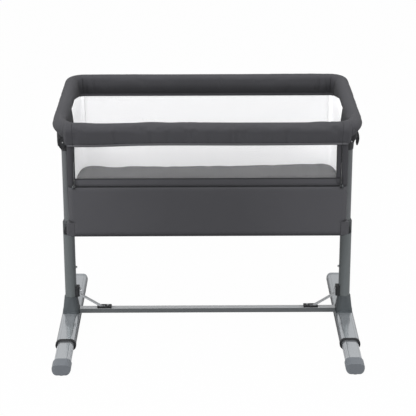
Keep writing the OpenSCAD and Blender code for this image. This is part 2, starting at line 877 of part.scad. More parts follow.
// Edge of the mattress: full at mid height, rounded above and drawn in below
function mattress_skin() =
  let (t = mattress_t, e = mattress_edge, n = 7)
  concat(
    [mattress_level(5, mattress_z), mattress_level(1.2, mattress_z + 0.12 * t),
     mattress_level(0, mattress_z + 0.28 * t)],
    [for (i = [1 : n]) let (a = 90 * i / n)
      mattress_level(e * (1 - cos(a)), mattress_z + t * (0.28 + 0.62 * sin(a)))],
    [mattress_level(e + 40, mattress_z + 0.95 * t),
     mattress_level(e + 100, mattress_z + 0.985 * t),
     mattress_level(e + 170, mattress_z + t)]
  );

module skin(levels_list) {
  n = len(levels_list[0]);
  m = len(levels_list);
  points = [for (level = levels_list) each level];
  sides = [for (k = [0 : m - 2], i = [0 : n - 1])
    let (a = k * n + i, b = k * n + (i + 1) % n, c = a + n, d = b + n)
    each [[a, c, b], [b, c, d]]];
  floor_cap = [for (i = [1 : n - 2]) [0, i, i + 1]];
  top = (m - 1) * n;
  top_cap = [for (i = [1 : n - 2]) [top, top + i + 1, top + i]];
  polyhedron(points = points, faces = concat(sides, floor_cap, top_cap));
}

module mattress() {
  color("#75767a") centred() skin(mattress_skin());
}

module base_cloth() {
  color("#3d3e41") centred() translate([0, 0, body_bottom - cloth_t - 0.2])
    linear_extrude(cloth_t) body_plan(0.5);
}

// Fabric walls

module front_panel() {
  low = 41.5;
  x_low = upright_x - corner_d / 2 + 1;
  x_band = gate_x + 0.5;
  module front_part(x) {
    intersection() {
      body_ring(0, wall_t);
      translate([-x, -body_front - 1]) square([2 * x, body_front + 1 - front_split]);
    }
  }
  color("#4c4d50") centred() difference() {
    union() {
      translate([0, 0, body_bottom]) linear_extrude(low + 0.01) front_part(x_low);
      translate([0, 0, body_bottom + low])
        linear_extrude(fold_z - 2 - body_bottom - low) front_part(body_x);
      translate([0, 0, fold_z - 2.01]) linear_extrude(seam_z - fold_z + 1.7)
        difference() {
          front_part(body_x);
          translate([-x_band, -body_front - 2]) square([2 * x_band, 20]);
        }
    }
    for (s = [-1, 1]) scale([s, 1, 1])
      translate([arm_x - 0.3, -body_front - 5, fold_z - 12])
        cube([gate_x - arm_x + 6.2, 10, 18]);
  }
}

module end_wall(side) {
  color("#48494c") on_side(side) difference() {
    translate([body_x - wall_t, -front_split + 0.3, body_bottom])
      cube([wall_t, front_split + corner_y - 0.6, seam_z - seat - body_bottom]);
    translate([body_x - 10, -body_front - 1, body_bottom - 1])
      cube([20, 33.5, 42.5]);
  }
}

module rear_wall() {
  color("#48494c") centred() {
    intersection() {
      translate([0, 0, body_bottom]) linear_extrude(fold_z + 3 - body_bottom)
        body_ring(0, wall_t);
      translate([-body_x, corner_y, 0]) cube([2 * body_x, 100, 2000]);
    }
    for (s = [-1, 1]) scale([s, 1, 1])
      translate([0, 0, fold_z + 2]) linear_extrude(seam_z - seat - fold_z - 2)
        intersection() {
          body_ring(0, wall_t);
          translate([corner_x, corner_y]) square(100);
        }
  }
}

module rear_mesh() {
  color("#f2f2f2") centred() translate([-corner_x + seat, body_rear - net_t, fold_z + 3 + seat])
    cube([2 * (corner_x - seat), net_t, seam_z - fold_z - 3 - 2 * seat]);
}

module lining() {
  low = mattress_z + 1;
  color("#f4f4f4") centred() {
    translate([0, 0, low]) linear_extrude(fold_z + 3 - low) intersection() {
      body_ring(wall_t + seat, wall_t + seat + lining_t);
      translate([-body_x, -body_front + 32.5]) square([2 * body_x, 900]);
    }
    for (s = [-1, 1]) scale([s, 1, 1])
      translate([0, 0, fold_z + 2]) linear_extrude(seam_z - 2 * seat - fold_z - 2)
        intersection() {
          body_ring(wall_t + seat, wall_t + seat + lining_t);
          translate([corner_x, -lining_front]) square([100, 900]);
        }
  }
}

module zip_slider(side) {
  x0 = gate_x + 0.2;
  z0 = fold_z + 7;
  color("#141516") on_side(side) {
    translate([x0, -body_front - 3.4, z0 + zip_l - 8]) cube([3.2, 3.1, 8]);
    translate([x0 + 0.4, -body_front - 3, z0]) cube([2.4, 1.8, zip_l - 4]);
  }
}

// Folding front side

module gate_rail() {
  color("#8d9194") centred() translate([0, -rail_front, rail_z])
    along_x(-arm_x + 0.1, arm_x - 0.1) difference() {
      circle(d = rail_d);
      circle(d = rail_d - 2 * tube_wall);
    }
}

module gate_arm(side) {
  knee = fold_z + 33;
  lean = atan2(hinge_y - rail_front, knee - fold_z);
  len = norm([hinge_y - rail_front, knee - fold_z]);
  color("#1f2123") on_side(side) {
    along_x(arm_x, arm_x + arm_t) {
      translate([-rail_front, rail_z]) circle(d = rail_d);
      translate([-rail_front - 4, knee]) square([8, rail_z - knee]);
      translate([-rail_front, knee]) circle(r = 4);
      translate([-rail_front, knee]) rotate(180 - lean) translate([-4, 0]) square([8, len]);
      translate([-hinge_y, fold_z]) circle(r = 5);
    }
    translate([arm_x + 0.5, -hinge_y, fold_z]) rotate([0, 90, 0])
      cylinder(d = 5, h = arm_t + 5.5);
  }
}

module gate_cover() {
  half = gate_x - 0.3;
  back = -rail_front + rail_d / 2;
  color("#5e5f62") centred() difference() {
    translate([0, -rail_front, rail_z]) along_x(-half, half) difference() {
      pad_section(-front_hang);
      circle(d = rail_d + 2 * seat);
    }
    for (s = [-1, 1]) scale([s, 1, 1]) {
      // pocket that lets the end go past the elbow's tongue
      translate([gate_x - 17, back - 1, rail_z - 12]) cube([30, 30, 24]);
      // slot for the arm
      translate([arm_x - 0.3, -rail_front - 4.3, seam_z - 1]) cube([20, 8.6, seam_drop + 1]);
    }
  }
}

module gate_mesh() {
  z0 = fold_z + strip_h + seat;
  color("#f2f2f2") centred() translate([-arm_x + seat, -body_front + 0.3, z0])
    cube([2 * (arm_x - seat), net_t, seam_z - seat - z0]);
}

module gate_strip() {
  color("#47484b") centred() translate([-arm_x + seat, -body_front, fold_z + 2])
    cube([2 * (arm_x - seat), wall_t, strip_h - 2]);
}

foot_sleeve(LEFT);  // foot_sleeve_left
foot_sleeve(RIGHT);  // foot_sleeve_right
foot_rear_cap(LEFT);  // foot_rear_cap_left
foot_rear_cap(RIGHT);  // foot_rear_cap_right
foot_rings();
post_socket(LEFT);  // post_socket_left
post_socket(RIGHT);  // post_socket_right
lower_post(LEFT);  // lower_post_left
lower_post(RIGHT);  // lower_post_right
post_collar(LEFT);  // post_collar_left
post_collar(RIGHT);  // post_collar_right
crossbar();
brace(LEFT);  // brace_left
brace(RIGHT);  // brace_right
brace_clips();
stand_fasteners();
height_button(LEFT);  // height_button_left
height_button(RIGHT);  // height_button_right
foot_tube(LEFT);  // foot_tube_left
foot_tube(RIGHT);  // foot_tube_right
foot_front_cap(LEFT);  // foot_front_cap_left
foot_front_cap(RIGHT);  // foot_front_cap_right
upper_post(LEFT);  // upper_post_left
upper_post(RIGHT);  // upper_post_right
post_plug(LEFT);  // post_plug_left
post_plug(RIGHT);  // post_plug_right
hub(LEFT);  // hub_left
hub(RIGHT);  // hub_right
hub_lever(LEFT);  // hub_lever_left
hub_lever(RIGHT);  // hub_lever_right
rail_tube();
front_elbow(LEFT);  // front_elbow_left
front_elbow(RIGHT);  // front_elbow_right
rail_saddle(LEFT);  // rail_saddle_left
rail_saddle(RIGHT);  // rail_saddle_right
rail_cover();
elbow_cover(LEFT);  // elbow_cover_left
elbow_cover(RIGHT);  // elbow_cover_right
base_frame();
base_corner(LEFT);  // base_corner_left
base_corner(RIGHT);  // base_corner_right
corner_tube(LEFT);  // corner_tube_left
corner_tube(RIGHT);  // corner_tube_right
mattress_board();
mattress();
base_cloth();
front_panel();
end_wall(LEFT);  // end_wall_left
end_wall(RIGHT);  // end_wall_right
rear_wall();
rear_mesh();
lining();
zip_slider(LEFT);  // zip_slider_left
zip_slider(RIGHT);  // zip_slider_right
gate_rail();
gate_arm(LEFT);  // gate_arm_left
gate_arm(RIGHT);  // gate_arm_right
gate_cover();
gate_mesh();
gate_strip();
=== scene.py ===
import math
import bmesh
import bpy
from mathutils import Matrix, Vector, noise


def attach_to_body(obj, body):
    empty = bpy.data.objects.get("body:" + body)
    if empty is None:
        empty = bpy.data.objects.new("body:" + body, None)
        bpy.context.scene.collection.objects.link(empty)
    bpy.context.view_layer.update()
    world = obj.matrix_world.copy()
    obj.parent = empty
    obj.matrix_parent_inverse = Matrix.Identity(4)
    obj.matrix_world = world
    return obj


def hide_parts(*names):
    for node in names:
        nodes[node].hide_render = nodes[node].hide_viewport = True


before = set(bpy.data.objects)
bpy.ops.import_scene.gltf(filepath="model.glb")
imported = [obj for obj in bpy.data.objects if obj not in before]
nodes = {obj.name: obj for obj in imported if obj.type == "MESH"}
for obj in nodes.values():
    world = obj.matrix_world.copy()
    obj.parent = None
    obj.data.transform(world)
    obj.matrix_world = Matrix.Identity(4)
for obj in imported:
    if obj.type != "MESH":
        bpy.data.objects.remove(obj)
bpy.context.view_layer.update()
scene = bpy.context.scene
print("frame loaded:", len(nodes), "nodes")

# Main lines of the cradle in metres
postY = 0.049
rail = dict(x=0.431, front=-0.213, rear=0.329, z=0.716, endY=-0.131, cornerX=0.391,
            cornerY=0.289, padRadius=0.020, seamDrop=0.044, hang=0.0235, frontHang=0.006)
body = dict(x=0.4075, front=-0.219, rear=0.3055, frontRound=0.014, rearRound=0.0165,
            seam=0.672, fold=0.542, bottom=0.390, gateX=0.388, inset=0.001, gap=0.0005,
            sill=0.003, wrapY=-0.201)
bothSides = (("Left", -1), ("Right", 1))

# Camera
view = dict(target=(0.0021, postY, 0.380), distance=4.665, pitch=19.75, yaw=0.27, roll=-0.13,
            focal=1500, frameWidth=416)


def makeCamera():
    pitch, yaw, roll = (math.radians(view[k]) for k in ("pitch", "yaw", "roll"))
    ahead = Vector((math.sin(yaw) * math.cos(pitch), math.cos(yaw) * math.cos(pitch),
                    -math.sin(pitch)))
    flat = Vector((math.cos(yaw), -math.sin(yaw), 0))
    top = flat.cross(ahead)
    side = flat * math.cos(roll) + top * math.sin(roll)
    top = side.cross(ahead)
    camera = bpy.data.objects.new("camera", bpy.data.cameras.new("camera"))
    camera.data.sensor_width = 36
    camera.data.lens = 36 * view["focal"] / view["frameWidth"]
    camera.data.clip_end = 60
    turn = Matrix((side, top, -ahead)).transposed().to_4x4()
    place = Vector(view["target"]) - ahead * view["distance"]
    camera.matrix_world = Matrix.Translation(place) @ turn
    scene.collection.objects.link(camera)
    scene.camera = camera


makeCamera()
print("camera set")


# Shader helpers
def tone(*levels):
    red, green, blue = levels if len(levels) == 3 else levels * 3
    return tuple(((v / 255 + 0.055) / 1.055) ** 2.4 for v in (red, green, blue)) + (1.0,)


def wire(tree, source, target):
    if hasattr(source, "links"):
        tree.links.new(source, target)
    else:
        target.default_value = source


def feed(tree, node, **sockets):
    for name, source in sockets.items():
        wire(tree, source, node.inputs[name.replace("_", " ")])
    return node


def makeNode(tree, kind, **sockets):
    return feed(tree, tree.nodes.new("ShaderNode" + kind), **sockets)


def calc(tree, operation, *values, kind="Math"):
    node = makeNode(tree, kind)
    node.operation = operation
    for value, socket in zip(values, node.inputs):
        wire(tree, value, socket)
    return node.outputs["Value" if operation == "DOT_PRODUCT" else 0]


def mixColour(tree, factor, first, second, blend="MIX"):
    node = makeNode(tree, "Mix")
    node.data_type, node.blend_type = "RGBA", blend
    for place, source in ((0, factor), (6, first), (7, second)):
        wire(tree, source, node.inputs[place])
    return node.outputs[2]


def shaded(tree, colour, light):
    return mixColour(tree, 1.0, colour, light, "MULTIPLY")


def noiseNode(tree, vector, scale, detail=3.0, rough=0.5, stretch=None):
    if stretch:
        vector = makeNode(tree, "Mapping", Scale=stretch, Vector=vector).outputs[0]
    return makeNode(tree, "TexNoise", Vector=vector, Scale=scale, Detail=detail,
                    Roughness=rough).outputs[0]


def ramp(tree, value, low, high, toLow=0.0, toHigh=1.0):
    node = makeNode(tree, "MapRange")
    for socket, v in zip(node.inputs, (value, low, high, toLow, toHigh)):
        wire(tree, v, socket)
    return node.outputs[0]


def splitAxes(tree, vector):
    return makeNode(tree, "SeparateXYZ", Vector=vector).outputs


def closeGroup(group, result, **values):
    for name, value in values.items():
        wire(group, value, result[name])
    return group


def newGroup(name, ins, outs):
    group = bpy.data.node_groups.new(name, "ShaderNodeTree")
    kinds = dict(f="NodeSocketFloat", c="NodeSocketColor", v="NodeSocketVector")
    for label, kind, value in ins:
        socket = group.interface.new_socket(name=label, in_out="INPUT", socket_type=kinds[kind])
        if value is not None:
            socket.default_value = value
    for label, kind in outs:
        group.interface.new_socket(name=label, in_out="OUTPUT", socket_type=kinds[kind])
    given, result = (group.nodes.new(kind) for kind in ("NodeGroupInput", "NodeGroupOutput"))
    return group, given.outputs, result.inputs


# Woven cloth: crossing threads, thick and thin yarns, and slow shade changes
def makeWeave():
    group, given, result = newGroup(
        "wovenCloth",
        [("Vector", "v", None), ("Colour", "c", (0.1, 0.1, 0.1, 1)), ("Threads", "f", 620.0),
         ("Contrast", "f", 0.16), ("Shade", "f", 0.10)],
        [("Colour", "c"), ("Height", "f"), ("Roughness", "f")])
    turn = calc(group, "MULTIPLY", given["Threads"], 2 * math.pi)
    waves = [calc(group, "SINE", calc(group, "MULTIPLY", axis, turn))
             for axis in splitAxes(group, given["Vector"])]
    pairs = [calc(group, "MULTIPLY", waves[a], waves[b]) for a, b in ((0, 1), (1, 2), (2, 0))]
    threads = calc(group, "ADD", calc(group, "ADD", pairs[0], pairs[1]), pairs[2])
    yarn = noiseNode(group, given["Vector"], 240.0, 2.0, 0.6, (1, 6, 1))
    height = calc(group, "ADD", calc(group, "MULTIPLY", threads, 0.5), yarn)
    slow = noiseNode(group, given["Vector"], 5.0, 3.0, 0.55)
    light = 1.0
    for level, amount in ((height, "Contrast"), (slow, "Shade")):
        offset = calc(group, "SUBTRACT", level, 0.5)
        light = calc(group, "MULTIPLY_ADD", offset, given[amount], light)
    return closeGroup(group, result, Height=height,
                      Colour=shaded(group, given["Colour"], light),
                      Roughness=ramp(group, height, -0.5, 1.5, 0.95, 0.78))


# Fine grain of moulded plastic or orange peel of paint
def makeGrain():
    group, given, result = newGroup(
        "fineGrain",
        [("Vector", "v", None), ("Colour", "c", (0.1, 0.1, 0.1, 1)), ("Size", "f", 700.0),
         ("Rough", "f", 0.5), ("Spread", "f", 0.1), ("Shade", "f", 0.08)],
        [("Colour", "c"), ("Height", "f"), ("Roughness", "f")])
    fine = noiseNode(group, given["Vector"], given["Size"], 2.0, 0.6)
    slow = noiseNode(group, given["Vector"], 9.0, 4.0, 0.6)
    light = calc(group, "MULTIPLY_ADD", calc(group, "SUBTRACT", slow, 0.5), given["Shade"], 1.0)
    wander = calc(group, "SUBTRACT", calc(group, "ADD", fine, slow), 1.0)
    return closeGroup(group, result, Height=fine,
                      Colour=shaded(group, given["Colour"], light),
                      Roughness=calc(group, "MULTIPLY_ADD", wander, given["Spread"],
                                     given["Rough"]))


# Wear along the edges: where the bevelled normal leaves the true one
def makeWear():
    group, given, result = newGroup(
        "edgeWear",
        [("Vector", "v", None), ("Colour", "c", (0.1, 0.1, 0.1, 1)),
         ("Worn", "c", (0.4, 0.4, 0.4, 1)), ("Amount", "f", 0.5)],
        [("Colour", "c"), ("Mask", "f")])
    bevel = makeNode(group, "Bevel", Radius=0.0012)
    bevel.samples = 4
    true = makeNode(group, "NewGeometry").outputs["Normal"]
    straightness = calc(group, "DOT_PRODUCT", bevel.outputs[0], true, kind="VectorMath")
    edge = ramp(group, straightness, 0.995, 0.86)
    patchy = ramp(group, noiseNode(group, given["Vector"], 60.0, 4.0, 0.65), 0.35, 0.65)
    mask = calc(group, "MULTIPLY", calc(group, "MULTIPLY", edge, patchy), given["Amount"])
    return closeGroup(group, result, Mask=mask,
                      Colour=mixColour(group, mask, given["Colour"], given["Worn"]))


# Open net: staggered round holes between threads
def makeNet():
    group, given, result = newGroup(
        "openNet",
        [("Vector", "v", None), ("Pitch", "f", 0.003), ("Hole", "f", 0.42)],
        [("Alpha", "f"), ("Height", "f")])
    axes = splitAxes(group, calc(group, "DIVIDE", given["Vector"], given["Pitch"],
                                 kind="VectorMath"))
    nearest = None
    for shift in (0.0, 0.5):
        squares = []
        for axis, stretch in zip(axes, (1.0, 1.732)):
            cell = calc(group, "ADD", calc(group, "DIVIDE", axis, stretch), shift)
            away = calc(group, "SUBTRACT", calc(group, "FRACT", cell), 0.5)
            away = calc(group, "MULTIPLY", away, stretch)
            squares.append(calc(group, "MULTIPLY", away, away))
        reach = calc(group, "SQRT", calc(group, "ADD", *squares))
        nearest = reach if nearest is None else calc(group, "MINIMUM", nearest, reach)
    gap = calc(group, "SUBTRACT", nearest, given["Hole"])
    return closeGroup(group, result, Alpha=ramp(group, gap, -0.03, 0.03),
                      Height=ramp(group, gap, 0.0, 0.16))


weaveGroup, grainGroup, wearGroup, netGroup = makeWeave(), makeGrain(), makeWear(), makeNet()
print("node groups made")


def startMaterial(name, place):
    material = bpy.data.materials.new(name)
    material.use_nodes = True
    tree = material.node_tree
    shader = tree.nodes["Principled BSDF"]
    where = makeNode(tree, "TexCoord").outputs[place]
    return material, tree, shader, where


def addGroup(tree, group, **values):
    node = makeNode(tree, "Group")
    node.node_tree = group
    return feed(tree, node, **values).outputs


def bump(tree, height, distance):
    return makeNode(tree, "Bump", Strength=0.6, Distance=distance, Height=height).outputs[0]


def clothMaterial(name, colour, threads=620.0, contrast=0.16, shade=0.10, place="UV", sheen=0.03,
                  fold=None, flank=None, middle=None):
    material, tree, shader, where = startMaterial(name, place)
    out = addGroup(tree, weaveGroup, Vector=where, Colour=colour, Threads=threads,
                   Contrast=contrast, Shade=shade)
    shown = out["Colour"]
    # Painted shade darkens the inner flank of a padded cover and painted light brightens its outer
    # flank, by the distance round the section
    if flank:
        around = splitAxes(tree, where)[1]
        light = [ramp(tree, around, *flank[k]) for k in ("inside", "outside")]
        shown = shaded(tree, shown, calc(tree, "MULTIPLY", *light))
    # Painted shade: darker in the middle of the cloth and lighter towards its sides, by the
    # distance along it from the middle
    if middle:
        away = calc(tree, "SUBTRACT", splitAxes(tree, where)[0], middle["at"])
        light = ramp(tree, calc(tree, "ABSOLUTE", away), *middle["shade"])
        shown = shaded(tree, shown, light)
    height = out["Height"]
    if fold:
        soft = noiseNode(tree, where, fold["size"], 3.0, 0.5, fold["stretch"])
        height = calc(tree, "MULTIPLY_ADD", soft, fold["depth"], height)
    feed(tree, shader, Base_Color=shown, Roughness=out["Roughness"], Sheen_Weight=sheen,
         Sheen_Roughness=0.5, Specular_IOR_Level=0.12, Normal=bump(tree, height, 0.0003))
    return material


def hardMaterial(name, colour, rough=0.45, spread=0.12, size=700.0, depth=0.00008, metal=0.0,
                 worn=None, wear=0.4, shade=0.08, coat=0.0, lines=None, top=None):
    material, tree, shader, where = startMaterial(name, "Object")
    out = addGroup(tree, grainGroup, Vector=where, Colour=colour, Size=size, Rough=rough,
                   Spread=spread, Shade=shade)
    shown = out["Colour"]
    if worn:
        shown = addGroup(tree, wearGroup, Vector=where, Colour=shown, Worn=worn,
                         Amount=wear)["Colour"]
    height = out["Height"]
    # Grooves along the foot, darkened with painted shade
    if lines:
        across = calc(tree, "ABSOLUTE", splitAxes(tree, where)[0])
        side = calc(tree, "SUBTRACT", across, lines["middle"])
        off = calc(tree, "SUBTRACT", calc(tree, "ABSOLUTE", side), lines["apart"])
        off = calc(tree, "ABSOLUTE", off)
        groove = ramp(tree, off, lines["half"] * 0.4, lines["half"])
        height = calc(tree, "MULTIPLY_ADD", groove, lines["depth"], height)
        grooveShade = calc(tree, "MULTIPLY_ADD", groove, -0.25, 0.25)
        shown = mixColour(tree, grooveShade, shown, lines["grooveColour"])
        # Painted dark reflection over the flanks of the foot, beyond the rim distance from its
        # middle
        rim = ramp(tree, calc(tree, "ABSOLUTE", side), *lines["rim"])
        shown = mixColour(tree, rim, shown, lines["rimColour"])
    # Painted light: lighter above a given height, standing for a lit top face
    if top:
        upper = ramp(tree, splitAxes(tree, where)[2], top["at"] - 0.0004, top["at"] + 0.0004)
        shown = mixColour(tree, upper, shown, top["colour"])
    feed(tree, shader, Base_Color=shown, Roughness=out["Roughness"], Metallic=metal,
         Coat_Weight=coat, Coat_Roughness=0.2, Specular_IOR_Level=0.4,
         Normal=bump(tree, height, depth))
    return material


def netMaterial(name, colour, pitch, hole):
    material, tree, shader, where = startMaterial(name, "UV")
    out = addGroup(tree, netGroup, Vector=where, Pitch=pitch, Hole=hole)
    cloudy = calc(tree, "MULTIPLY", noiseNode(tree, where, 14.0, 3.0, 0.6), 0.25)
    feed(tree, shader, Base_Color=mixColour(tree, cloudy, colour, tone(190, 192, 195)),
         Alpha=out["Alpha"], Roughness=0.7, Sheen_Weight=0.2,
         Normal=bump(tree, out["Height"], 0.0003))
    return material


finish = dict(
    # panelCloth: painted shade in the middle of the front panel, painted light towards its sides
    panel=clothMaterial("panelCloth", tone(66, 66, 69), shade=0.12,
                        middle=dict(at=0.41, shade=(0.10, 0.40, 0.88, 1.16)),
                        fold=dict(size=4.0, stretch=(1, 2.5, 1), depth=4.0)),
    sleeve=clothMaterial("sleeveCloth", tone(56, 56, 59), shade=0.10),
    # coverCloth: painted shade on the inner flank of the pads, painted light on their outer flank
    cover=clothMaterial("coverCloth", tone(60, 60, 63), contrast=0.18, shade=0.14,
                        fold=dict(size=9.0, stretch=(1, 1.4, 1), depth=4.0),
                        flank=dict(inside=(0.026, 0.064, 0.5), outside=(0.105, 0.128, 1.0, 1.18))),
    wall=clothMaterial("wallCloth", tone(58, 58, 61), shade=0.12,
                       fold=dict(size=5.0, stretch=(1, 1.5, 1), depth=4.0)),
    hem=clothMaterial("hemCloth", tone(80, 80, 83), threads=900.0, contrast=0.2),
    tape=clothMaterial("zipTape", tone(42, 42, 44), threads=1100.0, contrast=0.25),
    mattress=clothMaterial("mattressCloth", tone(56, 56, 58), threads=520.0, place="Object",
                           contrast=0.14, shade=0.10, sheen=0.05),
    lining=clothMaterial("liningCloth", tone(250, 250, 251), threads=420.0, contrast=0.10,
                         shade=0.05),
    rearNet=netMaterial("rearNet", tone(236, 236, 239), 0.0028, 0.43),
    frontNet=netMaterial("frontNet", tone(254, 254, 254), 0.0032, 0.515),
    # footSilver: painted shade in the grooves along the foot and a painted dark reflection on its
    # flanks
    footSilver=hardMaterial("footSilver", tone(214, 218, 222), 0.13, 0.02, 900.0, 0.000006, 0.85,
                            worn=tone(226, 228, 230), wear=0.2, coat=0.1, shade=0.04,
                            lines=dict(middle=0.433, apart=0.0185, half=0.0010, depth=6.0,
                                       grooveColour=tone(70, 73, 76), rim=(0.0240, 0.0290),
                                       rimColour=tone(104, 107, 111))),
    capSilver=hardMaterial("capSilver", tone(150, 154, 158), 0.40, 0.08, 700.0, 0.00004, 0.2),
    capGrey=hardMaterial("capGrey", tone(98, 102, 107), 0.36, 0.10, 700.0, 0.00005,
                         worn=tone(134, 137, 141), wear=0.4),
    blackPlastic=hardMaterial("blackPlastic", tone(28, 29, 31), 0.42, 0.14, 800.0, 0.00008,
                              worn=tone(84, 86, 89), wear=0.3),
    socketGrey=hardMaterial("socketGrey", tone(64, 69, 72), 0.42, 0.12, 700.0, 0.00008,
                            worn=tone(108, 112, 116), wear=0.45),
    postGrey=hardMaterial("postGrey", tone(100, 105, 106), 0.33, 0.06, 320.0, 0.00003, 0.35,
                          coat=0.15),
    upperGrey=hardMaterial("upperGrey", tone(100, 103, 105), 0.32, 0.06, 320.0, 0.00003, 0.35,
                           coat=0.15),
    collarDark=hardMaterial("collarDark", tone(54, 57, 59), 0.42, 0.12, 700.0, 0.00008,
                            worn=tone(98, 101, 104), wear=0.4),
    # barSilver: painted light on its top face
    barSilver=hardMaterial("barSilver", tone(98, 101, 103), 0.34, 0.08, 320.0, 0.00003, 0.25,
                           coat=0.1, top=dict(at=0.0455, colour=tone(188, 190, 192))),
    frameSilver=hardMaterial("frameSilver", tone(148, 152, 155), 0.34, 0.10, 320.0, 0.00004, 0.5),
    braceSteel=hardMaterial("braceSteel", tone(176, 178, 181), 0.36, 0.10, 420.0, 0.00004, 0.3,
                            worn=tone(200, 202, 205), wear=0.4),
    screwSteel=hardMaterial("screwSteel", tone(196, 197, 199), 0.28, 0.12, 500.0, 0.00003, 1.0),
    hubBlack=hardMaterial("hubBlack", tone(44, 45, 47), 0.40, 0.14, 800.0, 0.00008,
                          worn=tone(96, 98, 101), wear=0.35),
    connectorGrey=clothMaterial("connectorCloth", tone(70, 70, 73), place="Object", threads=620.0),
    board=hardMaterial("boardBrown", tone(172, 150, 118), 0.7, 0.1, 500.0, 0.0001, shade=0.3),
)
print("materials made:", len(finish))

nodeFinish = dict(
    footSilver="foot_sleeve foot_tube", capSilver="foot_rear_cap", capGrey="foot_front_cap",
    blackPlastic="foot_rings brace_clips height_button post_plug hub_lever zip_slider gate_arm",
    socketGrey="post_socket", postGrey="lower_post", upperGrey="upper_post",
    collarDark="post_collar corner_tube", barSilver="crossbar", braceSteel="brace",
    screwSteel="stand_fasteners", hubBlack="hub front_elbow rail_saddle", board="mattress_board",
    frameSilver="rail_tube base_frame gate_rail", connectorGrey="base_corner")


def dressNodes():
    chosen = {key: name for name, keys in nodeFinish.items() for key in keys.split()}
    for name, node in nodes.items():
        key = name.replace("_left", "").replace("_right", "")
        if key in chosen:
            node.data.materials.clear()
            node.data.materials.append(finish[chosen[key]])


dressNodes()


# Mesh helpers
def finishPiece(bm, name, material, smooth=True, recalc=True):
    if recalc:
        bmesh.ops.recalc_face_normals(bm, faces=bm.faces)
    mesh = bpy.data.meshes.new(name)
    bm.to_mesh(mesh)
    bm.free()
    mesh.materials.append(finish[material])
    for polygon in mesh.polygons:
        polygon.use_smooth = smooth
    piece = bpy.data.objects.new(name, mesh)
    scene.collection.objects.link(piece)
    return piece


# Ties a piece to its body and hides the solids that it stands for
def attach(piece, host, slotName, *standsFor):
    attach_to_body(piece, host)
    if standsFor:
        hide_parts(*standsFor)


# Edges between the verts of one ring
def ringEdges(ring):
    return list({e for v in ring for e in v.link_edges if e.other_vert(v) in ring})


# Skin through a row of rings: one circle, extruded ring by ring and set in place
def loftRings(name, rings, material, sharp=True):
    bm = bmesh.new()
    uv = bm.loops.layers.uv.new("cloth")
    count = len(rings[0])
    ring = bmesh.ops.create_circle(bm, segments=count, radius=0.01)["verts"]
    place, along = {}, 0.0
    around = [0.0]
    half = rings[len(rings) // 2]
    for j in range(count):
        around.append(around[-1] + (half[j] - half[(j + 1) % count]).length)
    for i, points in enumerate(rings):
        if i:
            made = {g for g in bmesh.ops.extrude_edge_only(bm, edges=ringEdges(ring))["geom"]
                    if isinstance(g, bmesh.types.BMVert)}
            ring = [next(e.other_vert(v) for e in v.link_edges if e.other_vert(v) in made)
                    for v in ring]
            along += sum((a - b).length for a, b in zip(points, rings[i - 1])) / count
        for j, (vert, point) in enumerate(zip(ring, points)):
            vert.co = point
            place[vert] = (along, j)
        if i in (0, len(rings) - 1):
            edges = ringEdges(ring)
            bmesh.ops.contextual_create(bm, geom=edges)
            for edge in edges:
                edge.smooth = not sharp
    for face in bm.faces:
        wrap = {place[v][1] for v in face.verts} >= {0, count - 1} and len(face.verts) == 4
        for corner in face.loops:
            a, j = place[corner.vert]
            corner[uv].uv = (a, around[count if wrap and j == 0 else j])
    return finishPiece(bm, name, material)


# Padded section: a round top that runs down to a seam, from the seam up the inner side
def padSection(tail, grow=0.0, bulge=0.0, lift=0.0):
    radius, half, drop = rail["padRadius"] + grow, 0.0016, rail["seamDrop"] - lift
    ends = [Vector((tail - half, -drop)), Vector((tail + half, -drop))]
    turns = []
    for point, way in zip(ends, (-1, 1)):
        turns.append(math.atan2(point.y, point.x) + way * math.acos(radius / point.length))
    turns[0] += 2 * math.pi
    arc = [Vector((radius * math.cos(t), radius * math.sin(t)))
           for t in (turns[0] + (turns[1] - turns[0]) * k / 20 for k in range(21))]
    inner = [ends[0].lerp(arc[0], k / 6) for k in range(6)]
    outer = [arc[-1].lerp(ends[1], (k + 1) / 6) for k in range(6)]
    for k in range(6):
        swell = bulge * math.sin(math.pi * k / 6)
        inner[k] += Vector((-swell, 0))
        outer[5 - k] += Vector((swell, 0))
    return inner + arc + outer


def placeSection(section, centre, outward):
    return [Vector(centre) + outward * p.x + Vector((0, 0, p.y)) for p in section]


def ease(value, low, high):
    share = min(1.0, max(0.0, (value - low) / (high - low)))
    return share * share * (3 - 2 * share)


def arcPoints(centre, radius, start, end, steps):
    turns = [math.radians(start + (end - start) * k / steps) for k in range(steps + 1)]
    return [(Vector((centre[0] + radius * math.cos(t), centre[1] + radius * math.sin(t))),
             Vector((math.cos(t), math.sin(t)))) for t in turns]


def straight(first, last, outward, step):
    first, last = Vector(first), Vector(last)
    count = max(2, round((last - first).length / step))
    return [(first.lerp(last, k / count), Vector(outward)) for k in range(count + 1)]


# Line in plan from one side round the back to the other
def roundBack(x, rear, radius, endY, step, arcSteps):
    cx, cy = rail["cornerX"], rail["cornerY"]
    line = straight((-x, endY), (-x, cy), (-1, 0), step)
    line += arcPoints((-cx, cy), radius, 180, 90, arcSteps)[1:]
    line += straight((-cx, rear), (cx, rear), (0, 1), step)[1:]
    line += arcPoints((cx, cy), radius, 90, 0, arcSteps)[1:]
    return line + straight((x, cy), (x, endY), (1, 0), step)[1:]


# Verts of a padded skin that stay put: both seams and both ends
def seamPins(rings):
    count, last = len(rings[0]), len(rings) - 1
    return [k * count + v for k in range(last + 1) for v in range(count)
            if v in (0, count - 1) or k in (0, last)]


clothSettings = dict(quality=5, mass=0.25, air_damping=4, tension_stiffness=18,
                     compression_stiffness=18, shear_stiffness=6, vertex_group_mass="held",
                     pin_stiffness=1, use_pressure=True)


